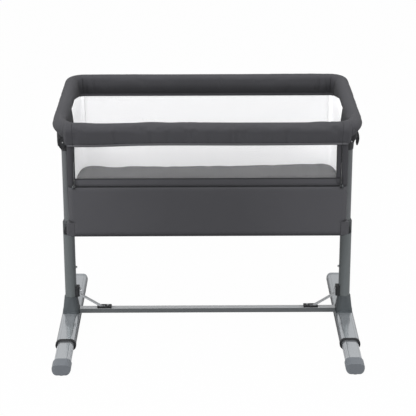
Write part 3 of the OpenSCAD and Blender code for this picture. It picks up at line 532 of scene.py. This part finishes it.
# Simulated cloth: swells or creases a piece, held along its seams, then is applied
def settle(piece, held, look):
    piece.vertex_groups.new(name="held").add(held, 1.0, "REPLACE")
    start = [v.co.copy() for v in piece.data.vertices]
    cloth = piece.modifiers.new("cloth", "CLOTH")
    for setting, value in clothSettings.items():
        setattr(cloth.settings, setting, value)
    cloth.settings.bending_stiffness = look["bend"]
    cloth.settings.uniform_pressure_force = look["pressure"]
    cloth.settings.shrink_min = look["slack"]
    cloth.settings.effector_weights.gravity = 0
    cloth.collision_settings.use_collision = False
    cloth.point_cache.frame_start, cloth.point_cache.frame_end = 1, look["frames"]
    for step in range(1, look["frames"] + 1):
        scene.frame_set(step)
    shaped = piece.evaluated_get(bpy.context.evaluated_depsgraph_get()).to_mesh()
    for vert, old, new in zip(piece.data.vertices, start, [v.co.copy() for v in shaped.vertices]):
        move = new - old
        vert.co = old + move * min(1.0, look["cap"] / max(move.length, 1e-9))
    piece.modifiers.remove(cloth)
    piece.vertex_groups.clear()
    scene.frame_set(1)
    print("  settled", piece.name)


# Padded cover of the bent rail, from one front corner round the back to the other
railCoverLook = dict(step=0.006, wave=0.0007, pressure=3.0, slack=-0.02, bend=0.15, frames=16,
                     cap=0.0012, rearBulge=0.005, rearFrom=0.2, cornerTurn=-62, reachFrom=-0.070,
                     reachLength=0.130, swing=0.004, lift=0.010, liftFrom=(0.085, 0.150),
                     frontLift=0.008, cornerGrow=0.0014,
                     corner=((0.4310, -0.136), (0.4302, -0.147), (0.4285, -0.158), (0.4258, -0.169),
                             (0.4222, -0.180), (0.4175, -0.190), (0.4115, -0.199), (0.4045, -0.206),
                             (0.3975, -0.210)),
                     folds=((0.402, 0.005, 0.0050), (0.388, 0.0035, 0.0048),
                            (0.374, 0.007, -0.0022), (0.360, 0.004, 0.0034),
                            (0.344, 0.008, -0.0010)))


def railPath():
    look = railCoverLook
    front = [(Vector(spot), math.radians(look["cornerTurn"]) * (k / (len(look["corner"]) - 1)))
             for k, spot in enumerate(look["corner"])]
    right = [(spot, Vector((math.cos(turn), math.sin(turn))), -turn) for spot, turn in front]
    left = [(Vector((-spot.x, spot.y)), Vector((-out.x, out.y)), turn) for spot, out, turn in right]
    line = roundBack(rail["x"], rail["rear"], rail["rear"] - rail["cornerY"], rail["endY"],
                     look["step"], 12)
    return left[::-1] + [(spot, out, 0.0) for spot, out in line] + right


def makeRailCover():
    look = railCoverLook
    full = -math.radians(look["cornerTurn"])
    rings = []
    for k, (spot, out, turn) in enumerate(railPath()):
        share, behind = turn / full, spot.y > look["rearFrom"]
        reach = min(1.0, max(0.0, (look["reachFrom"] - spot.y) / look["reachLength"])) ** 0.8
        tail = -rail["hang"] + (rail["hang"] + look["swing"]) * reach
        lift = look["lift"] * ease(-spot.y, *look["liftFrom"]) + look["frontLift"] * share
        section = padSection(tail, look["cornerGrow"] * share,
                             look["rearBulge"] * out.y * abs(out.y) * behind, lift)
        ring = placeSection(section, (spot.x, spot.y, rail["z"]), out.to_3d())
        fold = sum(deep * math.exp(-((abs(spot.x) - at) / wide) ** 2)
                   for at, wide, deep in look["folds"]) * behind
        for j, point in enumerate(ring):
            side = math.sin(math.pi * j / len(ring))
            inside = min(1, j / 3) * max(0, 1 - j / 17)
            soft = noise.noise(Vector((k * 0.11, j * 0.09, 3))) * look["wave"]
            ring[j] = point + out.to_3d() * (soft * side + fold * inside)
        rings.append(ring)
    cover = loftRings("railCover", rings, "cover")
    settle(cover, seamPins(rings), look)
    attach(cover, "bassinet", "cover_fabric", "rail_cover", "elbow_cover_left", "elbow_cover_right")


makeRailCover()
print("rail cover made")

# Slack of the front pad: its top dips on the left, its lower edge hangs in a slow wave
sagLook = dict(low=(0.0028, 0.0034, -0.34, 0.11, 0.0006, 11),
               top=(0, 0.0022, -0.30, 0.10, 0.0007, 8))


def slack(x, base, deep, at, wide, wave, pace):
    return base + deep * math.exp(-((x - at) / wide) ** 2) + wave * math.sin(pace * x)


def gateSag(x):
    return slack(x, *sagLook["low"])


def sagPoint(point):
    down = min(1.0, max(0.0, (rail["z"] - point.z) / rail["seamDrop"]))
    dip = slack(point.x, *sagLook["top"])
    return point - Vector((0, 0, gateSag(point.x) * down ** 2 + dip * (1 - down)))


# Rounded ends of the front pad, over the two corners of the rail cover
frontEndLook = dict(steps=(0.0, 0.0004, 0.004, 0.009, 0.014, 0.0185, 0.0218, 0.0240, 0.0254,
                           0.0261), depth=0.0262, round=0.010, rise=0.0034, riseOver=0.014,
                    tip=0.06, crown=0.012, flat=0.3, proud=0.0001)


def makeFrontEnds():
    look = frontEndLook
    for name, side in bothSides:
        rings = []
        for far in look["steps"]:
            near = max(0.0, far - (look["depth"] - look["round"])) / look["round"]
            shrink = look["tip"] + (1 - look["tip"]) * math.sqrt(1 - min(near, 0.999) ** 2)
            press = look["flat"] + (1 - look["flat"]) * shrink
            lift = look["proud"] + look["rise"] * min(1.0, far / look["riseOver"])
            section = [Vector((p.x * shrink, (p.y + look["crown"]) * press - look["crown"]))
                       for p in padSection(rail["frontHang"], lift)]
            x = side * (body["gateX"] + look["proud"] + far)
            ring = placeSection(section, (x, rail["front"], rail["z"]), Vector((0, -1, 0)))
            rings.append([sagPoint(point) for point in ring])
        end = loftRings("frontPadEnd" + name, rings, "cover", sharp=False)
        smooth = end.modifiers.new("soft", "SUBSURF")
        smooth.levels = smooth.render_levels = 1
        attach(end, "bassinet", "cover_fabric")


makeFrontEnds()
print("front pad ends made")

# Padded cover of the folding front rail
gateCoverLook = dict(step=0.008, wave=0.0006, pressure=2.0, slack=-0.012, bend=0.2, frames=14,
                     cap=0.002)


def makeGateCover():
    look = gateCoverLook
    half = body["gateX"] - 0.0002
    section = padSection(rail["frontHang"])
    rings = []
    for k, (spot, out) in enumerate(straight((-half, rail["front"]), (half, rail["front"]), (0, -1),
                                             look["step"])):
        ring = placeSection(section, (spot.x, spot.y, rail["z"]), out.to_3d())
        for j, point in enumerate(ring):
            side = math.sin(math.pi * j / len(ring))
            soft = noise.noise(Vector((k * 0.07, j * 0.06, 11))) * look["wave"]
            ring[j] = sagPoint(point + out.to_3d() * soft * side)
        rings.append(ring)
    cover = loftRings("gateCover", rings, "cover")
    settle(cover, seamPins(rings), look)
    attach(cover, "gate", "cover_fabric", "gate_cover")


makeGateCover()
print("gate cover made")


# Cord sewn along a seam, flat where it is thin
def makeCord(name, points, radius, material, host, slot, sides=8, thin=1.0):
    rings = []
    for k, point in enumerate(points):
        ahead = (points[min(k + 1, len(points) - 1)] - points[max(k - 1, 0)]).normalized()
        side = ahead.cross(Vector((0, 0, 1) if abs(ahead.z) < 0.9 else (0, 1, 0)))
        side.normalize()
        up = side.cross(ahead)
        rings.append([point + (side * thin * math.cos(a) + up * math.sin(a)) * radius
                      for a in (2 * math.pi * j / sides for j in range(sides))])
    attach(loftRings(name, rings, material), host, slot)


def seamLine(inset, endY):
    return roundBack(*(body[k] - inset for k in ("x", "rear", "rearRound")), endY, 0.02, 8)


pipingLook = dict(radius=0.0016, tuck=0.0009, backZ=0.6745, backY=-0.060, out=0.0022, hem=0.0037,
                  thin=0.24, gateZ=0.6749, gateY=0.0042, rearZ=0.6755, rearInset=0.0042, end=0.4040,
                  tuckFrom=0.398)


def makePiping():
    look = pipingLook
    outside = [(spot + out * look["out"]).to_3d() + Vector((0, 0, look["backZ"]))
               for spot, out in seamLine(0.0, look["backY"])]
    makeCord("railPipingOut", outside, look["radius"], "hem", "bassinet", "cover_fabric")
    near, far, end = body["gateX"] - body["gap"], body["gateX"] + body["gap"], look["end"]
    for label, up, size, material, rearMaterial, thin in (
            ("Hem", 0, look["hem"], "hem", "sleeve", look["thin"]),
            ("Tuck", look["hem"] + body["gap"], look["tuck"], "tape", "tape", 1.0)):
        rear = [Vector((spot.x, spot.y, look["rearZ"] + up))
                for spot, out in seamLine(look["rearInset"], 0.28) if spot.y > rail["cornerY"]]
        makeCord("rear" + label, rear, size, rearMaterial, "bassinet", "cover_fabric", thin=thin)
        for name, first, last, host in (("gate", -near, near, "gate"),
                                        ("leftEnd", -end, -far, "bassinet"),
                                        ("rightEnd", far, end, "bassinet")):
            points = []
            for k in range(61):
                x = first + (last - first) * k / 60
                tuckIn = max(0.0, abs(x) - look["tuckFrom"]) * 0.5
                points.append(Vector((x, body["front"] - look["gateY"] + tuckIn,
                                      look["gateZ"] + up - gateSag(x))))
            makeCord(name + label, points, size, material, host, "cover_fabric", thin=thin)


makePiping()
print("piping made")


# Bellying of the end walls, their lining and the mattress, least beside the posts
swellLook = dict(most=0.0125, low=(0.388, 0.434), top=0.60, topFade=0.13, front=(-0.19, -0.07),
                 rear=0.285, rearFade=0.07, postCut=0.75, postWide=0.055)


def sideSwell(spot, z):
    look = swellLook
    beside = math.exp(-((spot.y - postY) / look["postWide"]) ** 2)
    return (look["most"] * ease(z, *look["low"]) * ease(look["top"] - z, 0, look["topFade"])
            * ease(spot.y, *look["front"]) * ease(look["rear"] - spot.y, 0, look["rearFade"])
            * (1 - look["postCut"] * beside))


def cutAcross(bm, axis, value):
    normal = Vector([float(axis == name) for name in "xyz"])
    bmesh.ops.bisect_plane(bm, geom=bm.verts[:] + bm.edges[:] + bm.faces[:], dist=1e-6,
                           plane_co=normal * value, plane_no=normal)


def declareCloth(piece, thick, host, slotName, node=None):
    solid = piece.modifiers.new("thickness", "SOLIDIFY")
    solid.thickness, solid.offset = thick, 0
    attach(piece, host, slotName, *([node] if node else []))


# Cloth hung along a line in plan: a grid bent round it, given its thickness and tied to its body
def hangCloth(name, line, low, high, material, host, slotName, node=None, cell=0.012,
              ripple=0.0006, seed=1, thick=0.0016, window=None, lean=None, crest=None):
    bm = bmesh.new()
    uv = bm.loops.layers.uv.new("cloth")
    runs = [0.0]
    for (a, _), (b, _) in zip(line, line[1:]):
        runs.append(runs[-1] + (b - a).length)
    length = runs[-1]
    across, up = max(4, round(length / cell)), max(3, round((high - low) / cell))
    bmesh.ops.create_grid(bm, x_segments=across, y_segments=up, size=0.5)
    where = {}
    for vert in bm.verts:
        s, t = (vert.co.x + 0.5) * length, vert.co.y + 0.5
        k = max(i for i in range(len(runs)) if runs[i] <= s + 1e-9)
        k = min(k, len(line) - 2)
        share = (s - runs[k]) / max(runs[k + 1] - runs[k], 1e-9)
        spot, out = line[k][0].lerp(line[k + 1][0], share), line[k][1].lerp(line[k + 1][1], share)
        z = low + ((crest(spot) if crest else high) - low) * t
        edge = math.sin(math.pi * min(1, max(0, t))) ** 0.5
        soft = noise.noise(Vector((s * 7, z * 9, seed))) * ripple * edge
        soft += (lean(z) if lean else 0) + sideSwell(spot, z) * (abs(spot.x) > 0.4)
        vert.co = Vector((spot.x, spot.y, z)) + out.normalized().to_3d() * soft
        where[vert] = (s, z)
    for face in bm.faces:
        for corner in face.loops:
            corner[uv].uv = where[corner.vert]
    if window:
        for axis, value in window["cuts"]:
            cutAcross(bm, axis, value)
        gone = [f for f in bm.faces if window["gone"](f.calc_center_median())]
        bmesh.ops.delete(bm, geom=gone, context="FACES")
    area = sum(f.calc_area() for f in bm.faces)
    piece = finishPiece(bm, name, material, recalc=False)
    faces, out = piece.data.polygons, line[len(line) // 2][1].to_3d()
    if faces[len(faces) // 2].normal.dot(out) < 0:
        piece.data.flip_normals()
    declareCloth(piece, thick, host, slotName, node)


def acrossFront(half, inset=body["inset"]):
    y = body["front"] + inset
    return straight((-half, y), (half, y), (0, -1), 0.05)


def frontLine(inset):
    arc, endY = body["frontRound"] - inset, body["wrapY"]
    x, y = body["x"] - inset, body["front"] + inset
    cx, cy = body["x"] - body["frontRound"], body["front"] + body["frontRound"]
    line = [(Vector((-x, endY)), Vector((-1, 0)))]
    line += arcPoints((-cx, cy), arc, 180, 270, 6)
    line += straight((-cx, y), (cx, y), (0, -1), 0.05)[1:]
    line += arcPoints((cx, cy), arc, 270, 360, 6)[1:]
    return line + [(Vector((x, endY)), Vector((1, 0)))]


frontPanelLook = dict(ripple=0.0009, low=0.3904, connectorTop=0.4315, connectorX=0.3905,
                      top=0.540)


def makeFrontPanel():
    look, inset, gap = frontPanelLook, body["inset"], body["gap"]
    aside, high = look["connectorX"], look["connectorTop"]
    hangCloth("frontPanel", frontLine(inset), look["low"], look["top"], "panel", "bassinet",
              "panel_fabric", "front_panel", ripple=look["ripple"], seed=5,
              window=dict(cuts=[("x", aside), ("x", -aside), ("z", high)],
                          gone=lambda c: abs(c.x) > aside and c.z < high))
    # sleeves that wrap the corner uprights beside the window
    for name, side in bothSides:
        line = [p for p in frontLine(inset) if p[0].x * side > body["gateX"]]
        edge = (Vector((side * (body["gateX"] + inset), body["front"] + inset)), Vector((0, -1)))
        line = line + [edge] if side < 0 else [edge] + line
        hangCloth("cornerSleeve" + name, line, look["top"] + gap, body["seam"] - gap, "sleeve",
                  "bassinet", "panel_fabric", cell=0.008,
                  ripple=0.0005, seed=7 + side)


makeFrontPanel()
print("front panel made")

wallLook = dict(ripple=0.0012, splitY=-0.2005, connectorY=-0.1865, low=0.3904, frontRise=0.016,
                frontFrom=(0.10, 0.16))


def makeWalls():
    look, high = wallLook, body["seam"] - body["gap"]
    for name, side in bothSides:
        x = side * (body["x"] - body["inset"])
        line = straight((x, look["splitY"]), (x, rail["cornerY"]), (side, 0), 0.05)
        hangCloth("endWall" + name, line, look["low"], high, "wall", "bassinet", "dark_fabric",
                  "end_wall_" + name.lower(), ripple=look["ripple"], seed=20 + side,
                  crest=lambda spot: high + look["frontRise"] * ease(-spot.y, *look["frontFrom"]),
                  window=dict(cuts=[], gone=lambda c: c.y < look["connectorY"]
                              and c.z < frontPanelLook["connectorTop"]))
    cx, cy, arc = rail["cornerX"], rail["cornerY"], body["rearRound"] - body["inset"]
    y, sill = body["rear"] - body["inset"], body["fold"] + body["sill"]
    line = arcPoints((-cx, cy), arc, 180, 90, 8)
    line += straight((-cx, y), (cx, y), (0, 1), 0.05)[1:]
    line += arcPoints((cx, cy), arc, 90, 0, 8)[1:]
    hangCloth("rearWall", line, look["low"], high, "wall", "bassinet", "dark_fabric", "rear_wall",
              ripple=look["ripple"], seed=31,
              window=dict(cuts=[("x", cx), ("x", -cx), ("z", sill)],
                          gone=lambda c: abs(c.x) < cx and c.z > sill))


makeWalls()
print("walls made")

netLook = dict(rearRipple=0.0004, frontRipple=0.0005, frontHalf=0.3841, rearLow=0.5455,
               frontLow=0.5685, high=0.6715, rearInset=0.0007, thick=0.0006)


def makeNets():
    look = netLook
    half, y = rail["cornerX"] - body["gap"], body["rear"] - look["rearInset"]
    for name, line, low, ripple, seed, host, node in (
            ("rearNet", straight((-half, y), (half, y), (0, 1), 0.05), look["rearLow"],
             look["rearRipple"], 40, "bassinet", "rear_mesh"),
            ("frontNet", acrossFront(look["frontHalf"]), look["frontLow"],
             look["frontRipple"], 41, "gate", "gate_mesh")):
        hangCloth(name, line, low, look["high"], name, host, "white_mesh", node, ripple=ripple,
                  seed=seed, thick=look["thick"])


makeNets()
print("nets made")

liningLook = dict(inset=0.0032, low=0.4150, lowFront=-0.175, endLow=0.5455, endTop=0.6680,
                  topLow=0.6675, front=0.024, top=0.7110, arcTop=0.6755, slope=0.212, lean=0.120,
                  edge=0.0009, proud=0.0003)


def liningCrest(spot):
    look = liningLook
    return min(look["top"], look["arcTop"] + look["slope"] * (rail["cornerY"] - spot.y))


def liningLean(z):
    return max(0, z - body["seam"]) * liningLook["lean"]


def makeLining():
    look = liningLook
    hangCloth("liningLow", seamLine(look["inset"], look["lowFront"]), look["low"],
              body["fold"] + body["sill"], "lining", "bassinet", "white_fabric", "lining",
              ripple=0.0003, seed=50, thick=0.001)
    for name, side in bothSides:
        line = [p for p in seamLine(look["inset"], look["front"])
                if p[0].x * side > rail["cornerX"] - 1e-6]
        hangCloth("liningEnd" + name, line, look["endLow"], look["endTop"], "lining", "bassinet",
                  "white_fabric", cell=0.006, ripple=0.0003, seed=52 + side, thick=0.001)
        hangCloth("liningTop" + name, line, look["topLow"], look["top"], "lining", "bassinet",
                  "white_fabric", cell=0.006, ripple=0.0002,
                  seed=56 + side, thick=0.001, crest=liningCrest, lean=liningLean)
        edge = []
        for spot, out in line:
            z = liningCrest(spot)
            edge.append((spot + out * (liningLean(z) - look["proud"])).to_3d()
                        + Vector((0, 0, z + look["proud"])))
        makeCord("liningEdge" + name, edge, look["edge"], "tape", "bassinet", "cover_fabric")


makeLining()
print("lining made")

stripLook = dict(half=0.3841, low=0.5445, high=0.5678)


def makeStrip():
    look = stripLook
    hangCloth("gateStrip", acrossFront(look["half"]), look["low"], look["high"], "panel", "gate",
              "panel_fabric", "gate_strip", ripple=0.0004, seed=60)


makeStrip()
print("zip strip made")


# Row of small blocks along a line: zip teeth, stitches
def makeRow(name, spots, size, material, host, slot):
    bm = bmesh.new()
    for spot in spots:
        place = Matrix.Translation(spot) @ Matrix.Diagonal((*size, 1))
        bmesh.ops.create_cube(bm, size=1.0, matrix=place)
    bmesh.ops.bevel(bm, geom=bm.edges[:], offset=min(size) * 0.25, segments=1, affect="EDGES")
    attach(finishPiece(bm, name, material, smooth=False), host, slot)


def stepsBetween(first, last, pitch):
    first, last = Vector(first), Vector(last)
    count = max(1, round((last - first).length / pitch))
    return [first.lerp(last, k / count) for k in range(count + 1)]


# Zip round the folding side: tape behind the fold, teeth on both edges
zipLook = dict(pitch=0.0032, tooth=(0.0019, 0.0020, 0.0016), half=0.3835, tapeHalf=0.3886,
               tapeBack=0.0030, teethBack=0.0012, inX=0.3858, outX=0.3877, lowZ=0.5413,
               highZ=0.5434, tapeLow=0.5325, tapeHigh=0.5440, sideLow=0.5470, sideHigh=0.6660)


def makeZip():
    look = zipLook
    hangCloth("zipTape", acrossFront(look["tapeHalf"], look["tapeBack"]), look["tapeLow"],
              look["tapeHigh"], "tape", "bassinet", "dark_fabric", ripple=0.0001, seed=64,
              thick=0.0008)
    y, pitch = body["front"] + look["teethBack"], look["pitch"]
    for label, z, host, shift in (("Low", look["lowZ"], "bassinet", 0),
                                  ("High", look["highZ"], "gate", pitch / 2)):
        end = look["half"] - shift
        makeRow("zipTeeth" + label, stepsBetween((-end, y, z), (end, y, z), pitch), look["tooth"],
                "blackPlastic", host, "black_plastic")
    long, deep, high = look["tooth"]
    for name, side in bothSides:
        for label, x, host in (("In", look["inX"], "gate"), ("Out", look["outX"], "bassinet")):
            x *= side
            spots = stepsBetween((x, y, look["sideLow"]), (x, y, look["sideHigh"]), pitch)
            makeRow("zipTeeth" + label + name, spots, (high, deep, long), "blackPlastic", host,
                    "black_plastic")


makeZip()
print("zip made")

# Cords down the sides of the window that turn out at the lower corners, and the right side's hem
bindingLook = dict(inner=dict(Left=0.3848, Right=0.3735), outer=0.3850, low=0.5682, high=0.6712,
                   cord=0.0011, turn=0.012, turnDrop=0.006, proud=0.0003, cordProud=0.0008,
                   stripEdge=0.5672, stripProud=0.0004)


def makeBindings():
    look = bindingLook
    x, foot, turn = look["outer"], look["low"] - look["turnDrop"], look["turn"]
    for name, side in bothSides:
        inner, y = look["inner"][name], body["front"] - look["proud"]
        if side > 0:
            line = straight((inner, y), (x, y), (0, -1), 0.004)
            hangCloth("bindingRight", line, look["low"], look["high"], "sleeve", "gate",
                      "panel_fabric", cell=0.004, ripple=0.0002, seed=66, thick=0.0012)
        y -= look["cordProud"]
        points = stepsBetween((side * inner, y, look["high"]), (side * inner, y, foot), 0.004)
        for k in range(1, 9):
            a = math.pi + math.pi / 2 * k / 8
            points.append(Vector((side * (inner + turn + turn * math.cos(a)), y,
                                  foot + turn * math.sin(a))))
        points = [p for p in points if abs(p.x) < x]
        makeCord("bindingCord" + name, points, look["cord"], "sleeve", "gate", "panel_fabric",
                 sides=6)
    y, z = body["front"] - look["stripProud"], look["stripEdge"]
    edge = stepsBetween((-x, y, z), (x, y, z), 0.02)
    makeCord("stripEdge", edge, look["cord"], "tape", "gate", "panel_fabric", sides=6)


makeBindings()
print("bindings made")

# Stitches along the hems
stitchLook = dict(pitch=0.0065, size=(0.0038, 0.0007, 0.0007), proud=0.0002,
                  rows=(("panelTop", 0.5350, "bassinet", 0.380),
                        ("panelLow", 0.3985, "bassinet", 0.384),
                        ("stripLow", 0.5480, "gate", 0.380), ("stripTop", 0.5650, "gate", 0.372)))


def makeStitches():
    look = stitchLook
    y = body["front"] - look["proud"]
    for label, z, host, half in look["rows"]:
        makeRow("stitches" + label, stepsBetween((-half, y, z), (half, y, z), look["pitch"]),
                look["size"], "hem", host, "panel_fabric")


makeStitches()
print("stitches made")


# Release levers with their curved wedge, and the bright screws on the hubs
leverLook = dict(pivot=(0.4545, 0.632), half=0.0065, bevel=0.0012, pin=0.002, pinLong=0.0198,
                 out=dict(Left=0.35, Right=1.0),
                 outline=((-1.5, 3.5), (3, 4.6), (8.5, -9), (10.8, -20), (11.2, -28), (9.6, -38),
                          (6, -48), (2.6, -48.6), (1.0, -42), (1.2, -30), (1.0, -20), (-2.6, -4)))
screwLook = dict(spots=((0.4408, 0.6010), (0.4330, 0.6015)), y=0.0288, radius=0.0026, high=0.0034)
ringLook = dict(centre=(-0.4425, 0.600), wide=0.0100, high=0.0190, y=0.0290, radius=0.0019,
                plate=0.0012)


# Round pin, screw or plate that faces the front
def addPin(bm, x, y, z, long, radius, radiusEnd=None, segments=20, stretch=(1, 1)):
    place = Matrix.Translation((x, y, z)) @ Matrix.Rotation(math.pi / 2, 4, "X")
    bmesh.ops.create_cone(bm, cap_ends=True, segments=segments, radius1=radius,
                          radius2=radiusEnd or radius, depth=long,
                          matrix=place @ Matrix.Diagonal((*stretch, 1, 1)))


def makeLevers():
    look, screws = leverLook, screwLook
    pivotX, pivotZ = look["pivot"]
    for name, side in bothSides:
        label, count = name.lower(), len(look["outline"])
        bm = bmesh.new()
        ring = bmesh.ops.create_circle(bm, segments=count, radius=0.01, cap_ends=True)["verts"]
        for vert, (x, z) in zip(ring, look["outline"]):
            vert.co = (side * (pivotX + x * look["out"][name] * 0.001), postY - look["half"],
                       pivotZ + z * 0.001)
        grown = bmesh.ops.extrude_face_region(bm, geom=bm.faces[:])["geom"]
        bmesh.ops.translate(bm, verts=[g for g in grown if isinstance(g, bmesh.types.BMVert)],
                            vec=(0, 2 * look["half"], 0))
        bmesh.ops.bevel(bm, geom=bm.edges[:], offset=look["bevel"], segments=2, affect="EDGES",
                        clamp_overlap=True)
        addPin(bm, side * pivotX, postY, pivotZ, look["pinLong"], look["pin"])
        attach(finishPiece(bm, "releaseLever" + name, "blackPlastic", smooth=False),
               "lever_" + label, "black_plastic", "hub_lever_" + label)
        bm = bmesh.new()
        for x, z in screws["spots"]:
            addPin(bm, side * x, screws["y"], z, screws["high"], screws["radius"],
                   screws["radius"] * 0.7)
        attach(finishPiece(bm, "hubScrews" + name, "screwSteel", smooth=False), "post_" + label,
               "screw_steel")
    look = ringLook
    (x, z), y, wide, high = look["centre"], look["y"], look["wide"], look["high"]
    points = [Vector((x + wide * math.cos(a), y, z + high * math.sin(a)))
              for a in (2 * math.pi * k / 32 for k in range(33))]
    makeCord("hubRingLeft", points, look["radius"], "blackPlastic", "post_left", "black_plastic")
    bm = bmesh.new()
    addPin(bm, x, y + look["plate"] / 2, z, look["plate"], 1, segments=32, stretch=(wide, high))
    attach(finishPiece(bm, "hubPlateLeft", "hubBlack", smooth=False), "post_left", "hub_black")


makeLevers()
print("levers and screws made")


def makeBaseCloth():
    bm = bmesh.new()
    uv = bm.loops.layers.uv.new("cloth")
    outline = [p[0] for p in frontLine(body["gap"])]
    rear = [p[0] for p in arcPoints((rail["cornerX"], rail["cornerY"]),
                                    body["rearRound"] - body["gap"], 0, 90, 8)]
    rear += [Vector((-p.x, p.y)) for p in reversed(rear)]
    verts = [bm.verts.new((p.x, p.y, body["bottom"] - 0.001)) for p in outline + rear]
    bm.faces.new(verts)
    for axis, first, count in (("x", -0.4, 17), ("y", -0.2, 11)):
        for k in range(count):
            cutAcross(bm, axis, k * 0.05 + first)
    for face in bm.faces:
        for corner in face.loops:
            corner[uv].uv = corner.vert.co.xy
    area = sum(f.calc_area() for f in bm.faces)
    piece = finishPiece(bm, "baseCloth", "wall", recalc=False)
    declareCloth(piece, 0.0014, "bassinet",
                 "dark_fabric", "base_cloth")


makeBaseCloth()
print("base cloth made")

# Mattress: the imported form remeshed, swelled and creased
mattressLook = dict(voxel=0.007, pressure=3.0, slack=-0.015, bend=0.6, frames=16, cap=0.003,
                    grow=1.042, reach=0.4036, rear=0.3012, lift=0.0034, swell=0.0058,
                    swellOver=0.28, wave=0.0012, foot=0.004)


def makeMattress():
    look = mattressLook
    bm = bmesh.new()
    bm.from_mesh(nodes["mattress"].data)
    bmesh.ops.remove_doubles(bm, verts=bm.verts, dist=1e-5)
    piece = finishPiece(bm, "mattressPad", "mattress")
    remesh = piece.modifiers.new("even", "REMESH")
    remesh.mode, remesh.voxel_size = "VOXEL", look["voxel"]
    graph = bpy.context.evaluated_depsgraph_get()
    shaped = bpy.data.meshes.new_from_object(piece.evaluated_get(graph))
    piece.modifiers.remove(remesh)
    piece.data = shaped
    low, high = (pick(v.co.z for v in shaped.vertices) for pick in (min, max))
    for vert in shaped.vertices:
        share = (vert.co.z - low) / (high - low)
        right = ease(vert.co.x, 0, look["swellOver"])
        soft = noise.noise(vert.co * 9) * look["wave"]
        wide = min(1.0, abs(vert.co.x) * look["grow"] / look["reach"])
        far = wide * look["reach"] + sideSwell(vert.co, vert.co.z) * wide ** 6
        vert.co.x = math.copysign(far, vert.co.x)
        if vert.co.y > 0:
            vert.co.y = min(look["rear"], vert.co.y * look["grow"])
        vert.co.z += share * (look["lift"] + look["swell"] * right + soft)
    settle(piece, [v.index for v in shaped.vertices if v.co.z < low + look["foot"]], look)
    for polygon in piece.data.polygons:
        polygon.use_smooth = True
    attach(piece, "bassinet", "mattress_fabric", "mattress")


makeMattress()
print("mattress made")


# Floor, backdrop and light
light = dict(world=0.50, floor=(0.38, 0.38, 0.385), white=0.985,
             lamps=dict(keyLight=(170, 3.0, (-0.5, -3.3, 3.4)), topLight=(50, 2.6, (0, 0.3, 3.3)),
                        leftLight=(56, 1.8, (-3.0, -0.4, 1.9)),
                        rightLight=(50, 1.8, (3.0, -0.4, 1.9))))


# Rays straight from the camera, or through the nets, see plain white
def showWhite(tree, shader, white, output, share=1.0):
    path = makeNode(tree, "LightPath")
    seen = [path.outputs[ray] for ray in ("Is Camera Ray", "Is Transmission Ray")]
    blend = makeNode(tree, "MixShader")
    wire(tree, calc(tree, "MULTIPLY", calc(tree, "MAXIMUM", *seen), share), blend.inputs[0])
    wire(tree, shader.outputs[0], blend.inputs[1])
    wire(tree, white.outputs[0], blend.inputs[2])
    wire(tree, blend.outputs[0], tree.nodes[output].inputs[0])


def makeStage():
    bm = bmesh.new()
    bmesh.ops.create_grid(bm, x_segments=1, y_segments=1, size=30)
    bmesh.ops.translate(bm, verts=bm.verts, vec=(0, 0, -0.0004))
    mesh = bpy.data.meshes.new("floor")
    bm.to_mesh(mesh)
    bm.free()
    floor = bpy.data.objects.new("floor", mesh)
    scene.collection.objects.link(floor)
    material = bpy.data.materials.new("paleFloor")
    material.use_nodes = True
    tree = material.node_tree
    shader = feed(tree, tree.nodes["Principled BSDF"], Base_Color=(*light["floor"], 1),
                  Roughness=0.9)
    glow = makeNode(tree, "Emission", Color=(1, 1, 1, 1))
    showWhite(tree, shader, glow, "Material Output", light["white"])
    mesh.materials.append(material)

    world = bpy.data.worlds.new("paleWorld")
    scene.world = world
    world.use_nodes = True
    tree = world.node_tree
    soft = feed(tree, tree.nodes["Background"], Color=(1, 1, 1, 1), Strength=light["world"])
    white = makeNode(tree, "Background", Color=(1, 1, 1, 1), Strength=1.0)
    showWhite(tree, soft, white, "World Output")

    for name, (power, size, spot) in light["lamps"].items():
        lamp = bpy.data.objects.new(name, bpy.data.lights.new(name, "AREA"))
        lamp.data.energy, lamp.data.size = power, size
        lamp.location = spot
        aim = Vector((0, 0, 0.4)) - Vector(spot)
        lamp.rotation_euler = aim.to_track_quat("-Z", "Y").to_euler()
        scene.collection.objects.link(lamp)


makeStage()
scene.view_settings.view_transform = "Standard"
bpy.context.view_layer.update()
